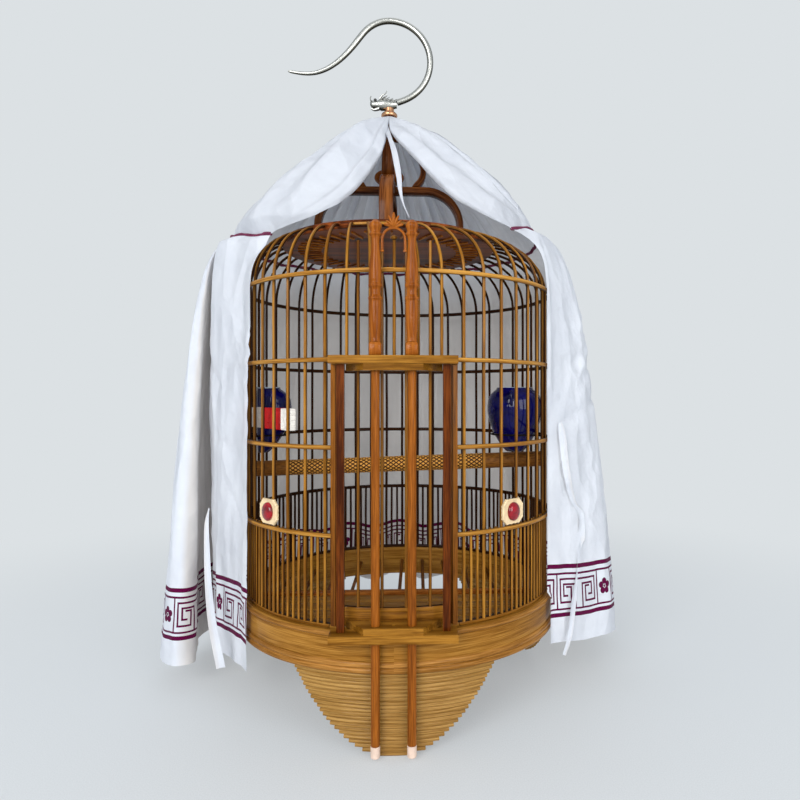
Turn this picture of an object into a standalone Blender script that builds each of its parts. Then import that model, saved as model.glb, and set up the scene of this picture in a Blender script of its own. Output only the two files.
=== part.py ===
"""Round bamboo bird cage with a lifting gate, hook, cups, perch and cloth cover.

Metres, +Z up, the door faces -Y, and the cage stands on its three feet at z = 0.
Everything is modelled round the cage's own axis, then moved as a whole so that the
origin lies under the middle of the bounding box.
"""
from math import acos, atan2, cos, pi, radians, sin, sqrt, tau

import bmesh
import bpy
from mathutils import Matrix, Vector

# Clearances
SEAT_GAP = 0.0003
RUNNING_GAP = 0.0005
WIRE_END_GAP = 0.0008
CUT_OVERRUN = 0.004
MERGE_OVERLAP = 0.0006

# Wall wires
CAGE_RADIUS = 0.1635
WIRE_RADIUS = 0.0015
FINE_WIRE_RADIUS = 0.0013
WIRE_COUNT = 48
FINE_PER_GAP = 2
SECTOR_WIRES = (6, 6, 6, 7, 6, 6, 6)
SECTOR_NAMES = ("front_right", "right", "back_right", "back", "back_left", "left", "front_left")
FIRST_WIRE_BESIDE_DOOR = 3
DOOR_HALF_PITCHES = 2.5
FINE_WIRE_SINK_DEPTH = 0.0015

# Base ring and its beads
RING_UNDERSIDE = 0.072
RING_HEIGHT = 0.036
RING_INWARD = 0.0035
RING_WALL = 0.010
BEAD_DEPTH = 0.0022
TOP_BEAD_HEIGHT = 0.004
TOP_BEAD_DROP = 0.0006
BOTTOM_BEAD_HEIGHT = 0.0110
SILL_HEIGHT = 0.003
SILL_INWARD = 0.0042
SILL_OUTWARD = 0.0018

# Feet
FOOT_HALF_ANGLE = radians(34.0)
FOOT_LAYERS = 11
FOOT_TIP_HALF_WIDTH = 0.007
FOOT_OUTLINE_POWER = 1.8
FOOT_WALL = 0.007
FOOT_FACET_PITCHES = 1.5
FOOT_LAYER_STEP = 0.0005
FOOT_COUNT = 3

# Hoops
WAIST_HOOP_HEIGHT = 0.1912
HOOP_SPACING = 0.0785
HOOP_SECTION_HEIGHT = 0.0045
HOOP_SECTION_DEPTH = 0.0042
HOOP_NAMES = ("waist", "middle", "door_top", "shoulder")

# Dome
DOME_BEND_RADIUS = 0.055
DOME_BEND_STEPS = 3
TOP_DISC_RADIUS = 0.118
TOP_DISC_THICKNESS = 0.0075
TOP_DISC_DROP = 0.0034
TOP_LEAN = 0.0110

# Claw that carries the hook
CLAW_FOOT_RADIUS = 0.080
CLAW_ARCH_RISE = 0.062
CLAW_ARCH_BEND = 0.040
CLAW_STRIP_THICKNESS = 0.0075
CLAW_STRIP_WIDTH = 0.0145
BULB_HEIGHT = 0.0585
BULB_FOOT_RADIUS = 0.0290
BULB_BELLY_RADIUS = 0.0385
BULB_STRIP_THICKNESS = 0.0065
BULB_TOP_WIDTH = 0.0080
CAP_HEIGHT = 0.020
CAP_LOWER_RADIUS = 0.0085
CAP_UPPER_RADIUS = 0.0052

# Hook
HOOK_SHAFT_RADIUS = 0.0023
HOOK_ROD_RADIUS = 0.0030
HOOK_TIP_RADIUS = 0.0016
HOOK_LOOP_RADIUS = 0.0470
HOOK_TAIL_REACH = 0.1150
HOOK_TAIL_DROP = 0.0371
HOOK_LOOP_START = radians(-79.0)
HOOK_LOOP_END = radians(158.0)
HOOK_TAPER_SHARE = 0.30
KNOB_RADIUS = 0.0168
KNOB_HEIGHT = 0.0145
KNOB_CLEARANCE = 0.0040
COLLAR_RADIUS = 0.0080
COLLAR_HEIGHT = 0.0062
COLLAR_STUB_RADIUS = 0.0038
COLLAR_STUB_HEIGHT = 0.0040
ORNAMENT_HEAD_REACH = 0.0215
ORNAMENT_TAIL_REACH = 0.0085
ORNAMENT_HEIGHT = 0.0115
ORNAMENT_DEPTH = 0.0120
ORNAMENT_HORN_RISE = 0.0070
ORNAMENT_HORN_RADIUS = 0.0011
HORN_ROOT_SHARE = 0.35
HORN_SWEEP_SHARE = 0.40
SOCKET_RISE_SHARE = 0.25
SOCKET_FLARE = 1.25

# Door frame
PLANK_HALF_WIDTH = 0.0555
PLANK_FORWARD = 0.0235
TOP_PLANK_THICKNESS = 0.0070
BOTTOM_PLANK_THICKNESS = 0.0073
BLOCK_FRONT_INSET = 0.0010
BLOCK_FRONT_HALF_WIDTH = 0.0255
BLOCK_BACK_HALF_WIDTH = 0.0430
BLOCK_THICKNESS = 0.0058
OUTER_POST_OFFSET = 0.0460
OUTER_POST_SIZE = 0.0065
OUTER_POST_INSET = 0.0125
INNER_POST_WIDTH = 0.0045
INNER_POST_DEPTH = 0.0080
CENTRE_HOLE_RADIUS = 0.0022

# Lifting door bars
BAR_SPACING = 0.0316
BAR_RADIUS = 0.0039
BAR_SET_FORWARD = 0.0100
BAR_CAP_HEIGHT = 0.0100
BAR_CAP_RADIUS = 0.0042
BAR_GROUND_CLEARANCE = 0.0035
COLUMN_HEIGHT = 0.1170
COLUMN_BASE_HEIGHT = 0.0118
COLUMN_BASE_HALF_WIDTH = 0.0054
COLUMN_BULGE_RADIUS = 0.0055
COLUMN_RING_RADIUS = 0.0060
COLUMN_NECK_RADIUS = 0.0039
COLUMN_CAP_RADIUS = 0.0058
ARCH_RADIUS = 0.0099
ARCH_ROD_RADIUS = 0.0012
ARCH_LEG_LENGTH = 0.0110
ARCH_FOOT_LENGTH = 0.0008
ARCH_TOP_DROP = 0.0056
LEAF_HEIGHT = 0.0140
LEAF_HALF_WIDTH = 0.0062
LEAF_THICKNESS = 0.0050
PETAL_THICKNESS = 0.0026

# Lifting gate
GATE_RAIL_HEIGHT = 0.0172
GATE_RAIL_THICKNESS = 0.0036
GATE_ROD_PITCHES = (-1.5, -0.5, 0.5, 1.5)
GATE_ROD_RADIUS_SHARE = 0.98
GATE_ROD_ABOVE_SHOULDER = 0.0270
CENTRE_ROD_ABOVE_SHOULDER = 0.0270

# Perch
PERCH_RADIUS = 0.0088
PERCH_HEIGHT = 0.2390
PERCH_RISE = 0.0107
PERCH_END_SHARE = 0.27
PERCH_ROUGHNESS = 0.0007
PERCH_ROUGH_STEPS = 8

# Cups and what holds them
CUP_AXIS_PITCHES = 10.0
CUP_HEIGHT = 0.0695
CUP_BOTTOM_HEIGHT = 0.2555
CUP_BELLY_RADIUS = 0.0272
LEFT_CUP_BELLY_RADIUS = 0.0225
CUP_WALL = 0.0030
RIGHT_CUP_INSET = 0.0325
CUP_RING_ROD_RADIUS = 0.0015
CUP_RING_HEIGHT_SHARE = 0.27
CUP_RADIUS_SHARE_AT_RING = 0.85
CUP_RING_OPEN_HALF_ANGLE = radians(62.0)
CUP_ARM_PITCHES = 1.0
CLIP_HEIGHT = 0.0210
CLIP_UNDERSIDE = 0.2830
CLIP_THICKNESS = 0.0050
CLIP_BACK_END_LENGTH = 0.0380
CLIP_FRONT_END_LENGTH = 0.0245
CLIP_DIRECTION_PITCHES = -7.5
CLIP_HALF_PITCHES = 2.5
CLIP_CARVING_DEPTH = 0.0010
CLIP_CARVING_INSET_SHARE = 0.2

# Ornament plates
PLATE_PITCHES = 6.0
PLATE_WIDTH = 0.0300
PLATE_HEIGHT = 0.0265
PLATE_THICKNESS = 0.0030
PLATE_NOTCH = 0.0055
GEM_HALF_WIDTH = 0.0080
GEM_HALF_HEIGHT = 0.0088
GEM_RISE = 0.0036

# Floor
BATTEN_HEIGHT = 0.0130
BATTEN_THICKNESS = 0.0080
BATTEN_UNDERSIDE = 0.0830
STICK_RADIUS = 0.0021
STICK_SPACING_SHARE = 0.1682
STICK_HALF_COUNT = 5

# Cloth cover
CLOTH_THICKNESS = 0.0018
CLOTH_OPENING_HALF_ANGLE = radians(61.0)
CLOTH_SEAM_OUTSET = 0.0215
CLOTH_SEAM_ABOVE_HOOP = 0.0525
CLOTH_HEM_OUTSET = 0.0805
CLOTH_HEM_HEIGHT = 0.0200
CLOTH_NECK_DROP = 0.0030
CLOTH_FOLDS = 13
CLOTH_FOLD_DEPTH = 0.0230
CLOTH_FOLD_SHARE_AT_SEAM = 0.22
CLOTH_COLUMNS_PER_FOLD = 4
CLOTH_SKIRT_ROWS = 6
CLOTH_CONE_ROWS = 4
CONE_BOW_POWER = 0.95
SKIRT_BOW_POWER = 0.5
FOLD_GROWTH_POWER = 0.7

# Facets
RING_FACETS = 48
TURNED_FACETS = 18
ROD_FACETS = 8
SMALL_TURNED_FACETS = 12
CARVED_FACETS = 10
THIN_ROD_FACETS = 6
GEM_FACETS = 16
BORE_FACETS = 16
HOOK_LOOP_STEPS = 18
DOOR_ARCH_STEPS = 10
CLAW_BEND_STEPS = 5
PLANK_BACK_STEPS = 8

# Derived places
PITCH = tau / WIRE_COUNT
STICK_SPACING = CAGE_RADIUS * STICK_SPACING_SHARE
RING_TOP = RING_UNDERSIDE + RING_HEIGHT
RING_INNER_RADIUS = CAGE_RADIUS - RING_INWARD
RING_OUTER_RADIUS = RING_INNER_RADIUS + RING_WALL
BEAD_OUTER_RADIUS = RING_OUTER_RADIUS + SEAT_GAP + BEAD_DEPTH
SILL_UNDERSIDE = RING_TOP + SEAT_GAP
SILL_TOP = SILL_UNDERSIDE + SILL_HEIGHT
HOOP_INNER_RADIUS = CAGE_RADIUS + WIRE_RADIUS + SEAT_GAP
HOOP_OUTER_RADIUS = HOOP_INNER_RADIUS + HOOP_SECTION_DEPTH
HOOP_HEIGHTS = tuple(WAIST_HOOP_HEIGHT + HOOP_SPACING * i for i in range(len(HOOP_NAMES)))
WAIST_Z, MIDDLE_Z, DOOR_TOP_Z, SHOULDER_Z = HOOP_HEIGHTS
WIRE_HALF_THICKNESS = WIRE_RADIUS * cos(pi / 4)
CLIP_CORNER_RADIUS = CAGE_RADIUS - WIRE_HALF_THICKNESS - SEAT_GAP
CLIP_FACE = CLIP_CORNER_RADIUS * cos(CLIP_HALF_PITCHES * PITCH)
CLIP_HALF_LENGTH = CLIP_CORNER_RADIUS * sin(CLIP_HALF_PITCHES * PITCH)
WIRE_TRAVEL = CAGE_RADIUS - TOP_DISC_RADIUS - WIRE_END_GAP
DOME_TURN = acos(max(0, 1 - WIRE_TRAVEL / DOME_BEND_RADIUS))
WIRE_END_Z = SHOULDER_Z + DOME_BEND_RADIUS * sin(DOME_TURN)
DISC_UNDERSIDE = WIRE_END_Z - TOP_DISC_DROP
DISC_TOP = DISC_UNDERSIDE + TOP_DISC_THICKNESS
DOOR_HALF_ANGLE = DOOR_HALF_PITCHES * PITCH
POST_HALF_ANGLE = (INNER_POST_WIDTH / 2 + SEAT_GAP) / CAGE_RADIUS
SILL_END_ANGLE = DOOR_HALF_ANGLE + (INNER_POST_WIDTH + SEAT_GAP) / CAGE_RADIUS
HOOP_UNDER_DOOR_TOP = DOOR_TOP_Z - HOOP_SECTION_HEIGHT / 2
TOP_PLANK_TOP = DOOR_TOP_Z + HOOP_SECTION_HEIGHT / 2
TOP_PLANK_UNDERSIDE = TOP_PLANK_TOP - TOP_PLANK_THICKNESS
BOTTOM_PLANK_TOP = SILL_TOP + SEAT_GAP
PLANK_FRONT = CAGE_RADIUS + PLANK_FORWARD
BAR_Y = -(PLANK_FRONT - BAR_SET_FORWARD)
CLAW_FOOT_Z = DISC_TOP + SEAT_GAP
CLAW_ARCH_TOP = CLAW_FOOT_Z + CLAW_ARCH_RISE + CLAW_STRIP_THICKNESS / 2
BULB_FOOT_Z = CLAW_ARCH_TOP + SEAT_GAP
BULB_TOP = BULB_FOOT_Z + BULB_HEIGHT
CAP_UNDERSIDE = BULB_TOP + SEAT_GAP
CAP_TOP = CAP_UNDERSIDE + CAP_HEIGHT
COLLAR_UNDERSIDE = CAP_TOP + SEAT_GAP
COLLAR_TOP = COLLAR_UNDERSIDE + COLLAR_HEIGHT + COLLAR_STUB_HEIGHT
CLOTH_NECK_RADIUS = CAP_UPPER_RADIUS + CLOTH_THICKNESS + SEAT_GAP
CLOTH_SEAM_RADIUS = CAGE_RADIUS + CLOTH_SEAM_OUTSET
CLOTH_HEM_RADIUS = CAGE_RADIUS + CLOTH_HEM_OUTSET
CLOTH_NECK_Z = COLLAR_UNDERSIDE - CLOTH_NECK_DROP
CLOTH_SEAM_Z = SHOULDER_Z + CLOTH_SEAM_ABOVE_HOOP
ORNAMENT_UNDERSIDE = COLLAR_TOP + SEAT_GAP
ORNAMENT_MIDDLE = ORNAMENT_UNDERSIDE + ORNAMENT_HEIGHT / 2

# Turned profiles, as (radius share, height share) from bottom to top
COLUMN_PROFILE_SHARES = (
    (0.72, 0.025), (0.95, 0.12), (1.00, 0.30), (1.09, 0.355), (0.82, 0.385), (0.84, 0.43),
    (1.06, 0.465), (1.00, 0.55), (0.70, 0.76), (0.69, 0.84), (0.84, 0.875))
COLUMN_CAP_SHARES = ((0.74, 0.00), (1.00, 0.35), (0.90, 0.80), (0.45, 1.00))
COLLAR_PROFILE_SHARES = ((1.0, 0.0), (0.96, 0.4), (0.75, 0.8))
KNOB_PROFILE_SHARES = ((0.35, 0.0), (0.86, 0.16), (1.0, 0.5), (0.86, 0.84), (0.35, 1.0))
CAP_PROFILE_SHARES = ((1.0, 0.0), (1.0, 0.22), (0.45, 0.36), (0.1, 0.6), (0.0, 1.0))
HOOK_TAIL_SHARES = ((0.09, 0.26), (0.19, 0.49), (0.38, 0.79), (0.52, 0.93), (0.66, 1.0), (0.83, 0.96), (1.0, 0.88))
CUP_PROFILE_SHARES = ((0.36, 0.00), (0.52, 0.04), (0.86, 0.30), (1.00, 0.58), (0.95, 0.78), (0.64, 1.00))

# Sections along a form, as (size share, share of the way along it)
ORNAMENT_SHARES = ((0.42, 0.0), (0.72, 0.10), (0.92, 0.28), (1.0, 0.48), (0.92, 0.70), (0.72, 0.88), (0.45, 1.0))
LEAF_SHARES = ((0.55, 0.0), (1.0, 0.25), (0.92, 0.50), (0.60, 0.78), (0.20, 1.0))
GEM_SHARES = ((1.0, 0.0), (1.0, 0.25), (0.85, 0.65), (0.45, 0.95))

# Half of an upper claw arch, as (share of the swell outwards, share of the height)
BULB_SHARES = ((0.0, 0.0), (0.75, 0.14), (1.0, 0.32), (0.80, 0.50), (0.30, 0.68), (-0.35, 0.82), (-1.35, 0.93))
COLUMN_FOOT_SHARE = 0.72

COLOURS = {
    "bamboo": ((0.56, 0.33, 0.10), 0.42, 0.0),
    "bamboo_pale": ((0.66, 0.45, 0.19), 0.45, 0.0),
    "bamboo_dark": ((0.30, 0.13, 0.04), 0.40, 0.0),
    "carved_wood": ((0.62, 0.30, 0.09), 0.38, 0.0),
    "steel": ((0.74, 0.74, 0.72), 0.18, 1.0),
    "copper": ((0.75, 0.50, 0.36), 0.35, 1.0),
    "glaze": ((0.012, 0.014, 0.13), 0.08, 0.0),
    "bone": ((0.88, 0.84, 0.76), 0.45, 0.0),
    "red_resin": ((0.65, 0.02, 0.02), 0.30, 0.0),
    "gem": ((0.42, 0.005, 0.02), 0.08, 0.0),
    "clear_cap": ((0.86, 0.74, 0.62), 0.35, 0.0),
    "dark_wire": ((0.05, 0.05, 0.05), 0.35, 1.0),
    "cotton": ((0.86, 0.87, 0.89), 0.90, 0.0),
}


def clear_scene():
    """Remove what the new file starts with."""
    for obj in list(bpy.data.objects):
        bpy.data.objects.remove(obj, do_unlink=True)


def material(name):
    """Return the named Principled material, made on its first use."""
    found = bpy.data.materials.get(name)
    if found:
        return found
    colour, roughness, metallic = COLOURS[name]
    made = bpy.data.materials.new(name)
    made.use_nodes = True
    made.diffuse_color = (*colour, 1.0)
    shader = made.node_tree.nodes["Principled BSDF"]
    shader.inputs["Base Color"].default_value = (*colour, 1.0)
    shader.inputs["Roughness"].default_value = roughness
    shader.inputs["Metallic"].default_value = metallic
    return made


def smooth(mesh):
    """Shade round faces smooth and keep real edges sharp."""
    mesh.shade_smooth()
    mesh.set_sharp_from_angle(angle=radians(35.0))


def add_object(name, bm, finish, parent=None, rounded=False):
    """Turn a bmesh into a named object with one material."""
    bmesh.ops.recalc_face_normals(bm, faces=bm.faces)
    mesh = bpy.data.meshes.new(name)
    bm.to_mesh(mesh)
    bm.free()
    mesh.materials.append(material(finish))
    if rounded:
        smooth(mesh)
    obj = bpy.data.objects.new(name, mesh)
    bpy.context.scene.collection.objects.link(obj)
    if parent:
        place_under(obj, parent)
    return obj


def place_under(obj, parent):
    """Parent an object while its mesh stays where the world has it."""
    obj.parent = parent
    obj.matrix_parent_inverse = Matrix.Translation(-parent.location)


def add_empty(name, location, parent=None):
    """Add the empty that marks a moving group's axis."""
    empty = bpy.data.objects.new(name, None)
    empty.location = location
    empty.parent = parent
    bpy.context.scene.collection.objects.link(empty)
    return empty


def as_cutter(obj):
    """Hide a helper that only feeds a Boolean."""
    obj.hide_render = True
    obj.display_type = "WIRE"
    return obj


def boolean(obj, other, operation):
    """Join or cut with another object, which becomes a hidden helper."""
    as_cutter(other)
    if obj.parent:
        place_under(other, obj.parent)
    step = obj.modifiers.new(operation.lower(), "BOOLEAN")
    step.operation = operation
    step.solver = "EXACT"
    step.object = other


def polar(radius, angle, z):
    """Point at an angle from the door, positive to the right of it."""
    return Vector((radius * sin(angle), -radius * cos(angle), z))


def grid_faces(bm, loops, closed_loop, closed_path):
    """Bridge successive loops of vertices with quads."""
    count = len(loops[0])
    pairs = list(zip(loops, loops[1:]))
    if closed_path:
        pairs.append((loops[-1], loops[0]))
    for near, far in pairs:
        for i in range(count if closed_loop else count - 1):
            j = (i + 1) % count
            bm.faces.new((near[i], near[j], far[j], far[i]))


def add_loops(bm, rings, closed_path=False):
    """Skin closed rings of points and cap the ends of an open path."""
    loops = [[bm.verts.new(point) for point in ring] for ring in rings]
    grid_faces(bm, loops, True, closed_path)
    if not closed_path:
        bm.faces.new(list(reversed(loops[0])))
        bm.faces.new(loops[-1])


def arc_band(bm, section, start, end, facets):
    """Sweep a section of (radius, z) points round the axis from one angle to another."""
    full = end - start > tau - SEAT_GAP
    count = facets if full else facets + 1
    rings = []
    for i in range(count):
        angle = start + (end - start) * i / facets
        rings.append([polar(radius, angle, z) for radius, z in section])
    add_loops(bm, rings, closed_path=full)


def band_section(inner, outer, bottom, top):
    """Rectangular section between two radii and two heights."""
    return ((inner, bottom), (outer, bottom), (outer, top), (inner, top))


def facets_between(start, end):
    """Facets of an arc, one for each wire pitch."""
    return max(2, round((end - start) / PITCH))


def arc_object(name, section, start, end, finish, shift=Vector((0, 0, 0))):
    """Object swept round the cage's axis, or round one beside it."""
    bm = bmesh.new()
    arc_band(bm, section, start, end, facets_between(start, end))
    bmesh.ops.translate(bm, verts=bm.verts, vec=shift)
    return add_object(name, bm, finish, rounded=True)


def turned(bm, profile, centre, facets=TURNED_FACETS):
    """Turn (radius, z) points about a vertical axis through centre, caps at both ends."""
    rings = []
    for radius, z in profile:
        ring = []
        for i in range(facets):
            angle = tau * i / facets
            ring.append(Vector((centre[0] + radius * cos(angle), centre[1] + radius * sin(angle), z)))
        rings.append(ring)
    add_loops(bm, rings)


def turned_object(name, profile, centre, finish, facets=TURNED_FACETS, parent=None):
    """Turned solid as an object."""
    bm = bmesh.new()
    turned(bm, profile, centre, facets)
    return add_object(name, bm, finish, parent, rounded=True)


def scaled_profile(shares, radius, bottom, height):
    """Turn shares of a radius and a height into a real profile."""
    return [(radius * r_share, bottom + height * z_share) for r_share, z_share in shares]


def box(bm, low, high):
    """Axis-aligned box between two corners."""
    rings = []
    for z in (low[2], high[2]):
        rings.append([Vector((low[0], low[1], z)), Vector((high[0], low[1], z)),
                      Vector((high[0], high[1], z)), Vector((low[0], high[1], z))])
    add_loops(bm, rings)


def prism(bm, outline, bottom, top):
    """Vertical prism over a plan outline of (x, y) points."""
    add_loops(bm, [[Vector((x, y, z)) for x, y in outline] for z in (bottom, top)])


def rod(bm, points, radii, facets, across):
    """Round rod through points, with its first side set by a fixed direction across it."""
    rings = []
    last = len(points) - 1
    for i, point in enumerate(points):
        along = (points[min(i + 1, last)] - points[max(i - 1, 0)]).normalized()
        side = across.cross(along).normalized()
        up = along.cross(side)
        ring = []
        for k in range(facets):
            angle = tau * (k + 0.5) / facets
            ring.append(point + radii[i] * (cos(angle) * side + sin(angle) * up))
        rings.append(ring)
    add_loops(bm, rings)


def strip(bm, points, thicknesses, widths, across):
    """Flat strip that stands on two level feet, its width along a fixed direction."""
    rings = []
    last = len(points) - 1
    for i, point in enumerate(points):
        along = (points[min(i + 1, last)] - points[max(i - 1, 0)]).normalized()
        if i in (0, last):
            along = Vector((0, 0, 1 if i == 0 else -1))
        normal = along.cross(across).normalized() * thicknesses[i] / 2
        half = across * widths[i] / 2
        rings.append([point + normal + half, point + normal - half,
                      point - normal - half, point - normal + half])
    add_loops(bm, rings)


def quarter(bend, steps, turn=pi / 2):
    """Pairs (sine, 1 - cosine) times a bend radius, from 0 to the angle turned."""
    return [(bend * sin(turn * i / steps), bend * (1 - cos(turn * i / steps))) for i in range(steps + 1)]


def wire_point(angle, inward, z):
    """Point of a wire that has come inward from the wall, leaning with the dome."""
    return polar(CAGE_RADIUS - inward, angle, z) + Vector((-TOP_LEAN * inward / WIRE_TRAVEL, 0, 0))


def wire_path(angle, bottom):
    """Route of one main wire: up the wall, over the shoulder and in to the disc."""
    points = [wire_point(angle, 0, bottom)]
    for rise, inward in quarter(DOME_BEND_RADIUS, DOME_BEND_STEPS, DOME_TURN):
        points.append(wire_point(angle, inward, SHOULDER_Z + rise))
    if WIRE_TRAVEL - DOME_BEND_RADIUS > SEAT_GAP:
        points.append(wire_point(angle, WIRE_TRAVEL, WIRE_END_Z))
    return points


def main_wire(bm, pitches, bottom):
    """One main wire at a number of pitches from the door's middle."""
    angle = pitches * PITCH
    across = polar(1, angle + pi / 2, 0)
    points = wire_path(angle, bottom)
    rod(bm, points, [WIRE_RADIUS] * len(points), 4, across)


def fine_wire(bm, pitches):
    """One fine wire between the sill and the waist hoop."""
    angle = pitches * PITCH
    across = polar(1, angle + pi / 2, 0)
    top = WAIST_Z + HOOP_SECTION_HEIGHT / 2
    points = [polar(CAGE_RADIUS, angle, SILL_UNDERSIDE + FINE_WIRE_SINK_DEPTH),
              polar(CAGE_RADIUS, angle, top)]
    rod(bm, points, [FINE_WIRE_RADIUS] * 2, 4, across)


def sill_section():
    """Section of the strip that the wires stand in."""
    return band_section(CAGE_RADIUS - SILL_INWARD, CAGE_RADIUS + SILL_OUTWARD, SILL_UNDERSIDE, SILL_TOP)


def wire_sector(name, first, count, start, end):
    """A sill strip with the main and fine wires that stand in it."""
    sill = arc_object(f"wires_{name}", sill_section(), start, end, "bamboo")
    bm = bmesh.new()
    last_of_all = WIRE_COUNT - FIRST_WIRE_BESIDE_DOOR
    for wire in range(first, first + count):
        main_wire(bm, wire, SILL_UNDERSIDE + FINE_WIRE_SINK_DEPTH)
        if wire < last_of_all:
            for i in range(FINE_PER_GAP):
                fine_wire(bm, wire + (i + 1) / (FINE_PER_GAP + 1))
    boolean(sill, add_object(f"wires_{name}_helper", bm, "bamboo"), "UNION")


def build_wall():
    """All sectors of the wall, then the four short wires above the door."""
    first = FIRST_WIRE_BESIDE_DOOR
    half_gap = SEAT_GAP / CAGE_RADIUS / 2
    split = 1 - 1 / (2 * (FINE_PER_GAP + 1))
    for index, (name, count) in enumerate(zip(SECTOR_NAMES, SECTOR_WIRES)):
        at_door_start = index == 0
        at_door_end = index == len(SECTOR_NAMES) - 1
        start = SILL_END_ANGLE if at_door_start else (first - 1 + split) * PITCH + half_gap
        end = tau - SILL_END_ANGLE if at_door_end else (first + count - 1 + split) * PITCH - half_gap
        wire_sector(name, first, count, start, end)
        first += count
    door_wires()


def door_wires():
    """Four short wires above the door, joined by a strip at the disc."""
    bottom = HOOP_UNDER_DOOR_TOP + SEAT_GAP
    reach = 2 * PITCH + WIRE_RADIUS / TOP_DISC_RADIUS
    inner = TOP_DISC_RADIUS + SEAT_GAP
    section = band_section(inner, inner + WIRE_RADIUS * 2, WIRE_END_Z - WIRE_RADIUS * 2,
                           WIRE_END_Z + WIRE_RADIUS / 2)
    top = arc_object("wires_above_door", section, -reach, reach, "bamboo", Vector((-TOP_LEAN, 0, 0)))
    bm = bmesh.new()
    for wire in (-2, -1, 1, 2):
        angle = wire * PITCH
        points = wire_path(angle, bottom)
        points[-1] = wire_point(angle, WIRE_TRAVEL - WIRE_RADIUS, WIRE_END_Z)
        rod(bm, points, [WIRE_RADIUS] * len(points), 4, polar(1, angle + pi / 2, 0))
    boolean(top, add_object("wires_above_door_helper", bm, "bamboo"), "UNION")
    bm = bmesh.new()
    centre_top = SHOULDER_Z + CENTRE_ROD_ABOVE_SHOULDER
    rod(bm, [polar(CAGE_RADIUS, 0, bottom), polar(CAGE_RADIUS, 0, centre_top)],
        [WIRE_RADIUS] * 2, ROD_FACETS, Vector((1, 0, 0)))
    add_object("door_centre_rod", bm, "bamboo", rounded=True)


def build_hoops():
    """Four hoops round the wires; the lower two stop at the door posts."""
    for name, z in zip(HOOP_NAMES, HOOP_HEIGHTS):
        section = band_section(HOOP_INNER_RADIUS, HOOP_OUTER_RADIUS,
                               z - HOOP_SECTION_HEIGHT / 2, z + HOOP_SECTION_HEIGHT / 2)
        below_door_top = z < DOOR_TOP_Z
        start = DOOR_HALF_ANGLE + POST_HALF_ANGLE if below_door_top else 0
        arc_object(f"hoop_{name}", section, start, tau - start, "bamboo_pale")


def bead_section(bottom, height):
    """Half-round section of a bead against the base ring."""
    inner = RING_OUTER_RADIUS + SEAT_GAP
    return ((inner, bottom), (inner + BEAD_DEPTH, bottom + height / 3),
            (inner + BEAD_DEPTH, bottom + height * 2 / 3), (inner, bottom + height))


def build_base():
    """Base ring with its beads and the sill under the door."""
    arc_object("base_ring", band_section(RING_INNER_RADIUS, RING_OUTER_RADIUS, RING_UNDERSIDE, RING_TOP),
               0, tau, "bamboo_pale")
    arc_object("rim_bead_top", bead_section(RING_TOP - TOP_BEAD_DROP - TOP_BEAD_HEIGHT, TOP_BEAD_HEIGHT),
               0, tau, "bamboo_pale")
    arc_object("rim_bead_bottom", bead_section(RING_UNDERSIDE, BOTTOM_BEAD_HEIGHT), 0, tau, "bamboo_pale")
    arc_object("door_sill", sill_section(), -SILL_END_ANGLE + SEAT_GAP / CAGE_RADIUS,
               SILL_END_ANGLE - SEAT_GAP / CAGE_RADIUS, "bamboo")


def foot_layer_half_angle(z, height):
    """Half angle of a foot's outline at a height above its tip."""
    tip = FOOT_TIP_HALF_WIDTH / RING_OUTER_RADIUS
    return tip + (FOOT_HALF_ANGLE - tip) * (z / height) ** (1 / FOOT_OUTLINE_POWER)


def foot_layers(bm, centre, parity, height):
    """Every second layer of a foot, overlapping its neighbours a little."""
    layer = height / FOOT_LAYERS
    outset = FOOT_LAYER_STEP * parity
    for i in range(parity, FOOT_LAYERS, 2):
        half = foot_layer_half_angle(layer * (i + 0.5), height)
        bottom = max(0, layer * i - MERGE_OVERLAP / 2)
        top = min(height, layer * (i + 1) + MERGE_OVERLAP / 2)
        facets = max(1, round(2 * half / (FOOT_FACET_PITCHES * PITCH)))
        outer = RING_OUTER_RADIUS - FOOT_LAYER_STEP + outset
        inner = RING_OUTER_RADIUS - FOOT_WALL - outset / 2
        arc_band(bm, band_section(inner, outer, bottom, top), centre - half, centre + half, facets)


def build_feet():
    """Three feet, each a stack of bent strips under the base ring."""
    names = ("foot_front", "foot_back_right", "foot_back_left")
    height = RING_UNDERSIDE - SEAT_GAP
    for i in range(FOOT_COUNT):
        centre = tau * i / FOOT_COUNT
        bm = bmesh.new()
        foot_layers(bm, centre, 0, height)
        foot = add_object(names[i], bm, "bamboo_pale")
        bm = bmesh.new()
        foot_layers(bm, centre, 1, height)
        boolean(foot, add_object(f"{names[i]}_helper", bm, "bamboo_pale"), "UNION")


def build_top_disc(top):
    """Disc that the wires run into."""
    profile = [(TOP_DISC_RADIUS, DISC_UNDERSIDE), (TOP_DISC_RADIUS, DISC_TOP)]
    turned_object("top_disc", profile, (0, 0), "bamboo_dark", facets=RING_FACETS, parent=top)


def claw_arch_points():
    """Half of a lower arch from its foot to the middle, as (reach, z)."""
    centre_z = CLAW_FOOT_Z + CLAW_ARCH_RISE - CLAW_ARCH_BEND
    points = [(CLAW_FOOT_RADIUS, CLAW_FOOT_Z), (CLAW_FOOT_RADIUS, centre_z)]
    for rise, inward in quarter(CLAW_ARCH_BEND, CLAW_BEND_STEPS)[1:]:
        points.append((CLAW_FOOT_RADIUS - inward, centre_z + rise))
    return points


def bulb_points():
    """Half of an upper arch from its foot to the top, as (reach, z)."""
    swell = BULB_BELLY_RADIUS - BULB_FOOT_RADIUS
    return [(BULB_FOOT_RADIUS + swell * out, BULB_FOOT_Z + BULB_HEIGHT * up) for out, up in BULB_SHARES]


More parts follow.
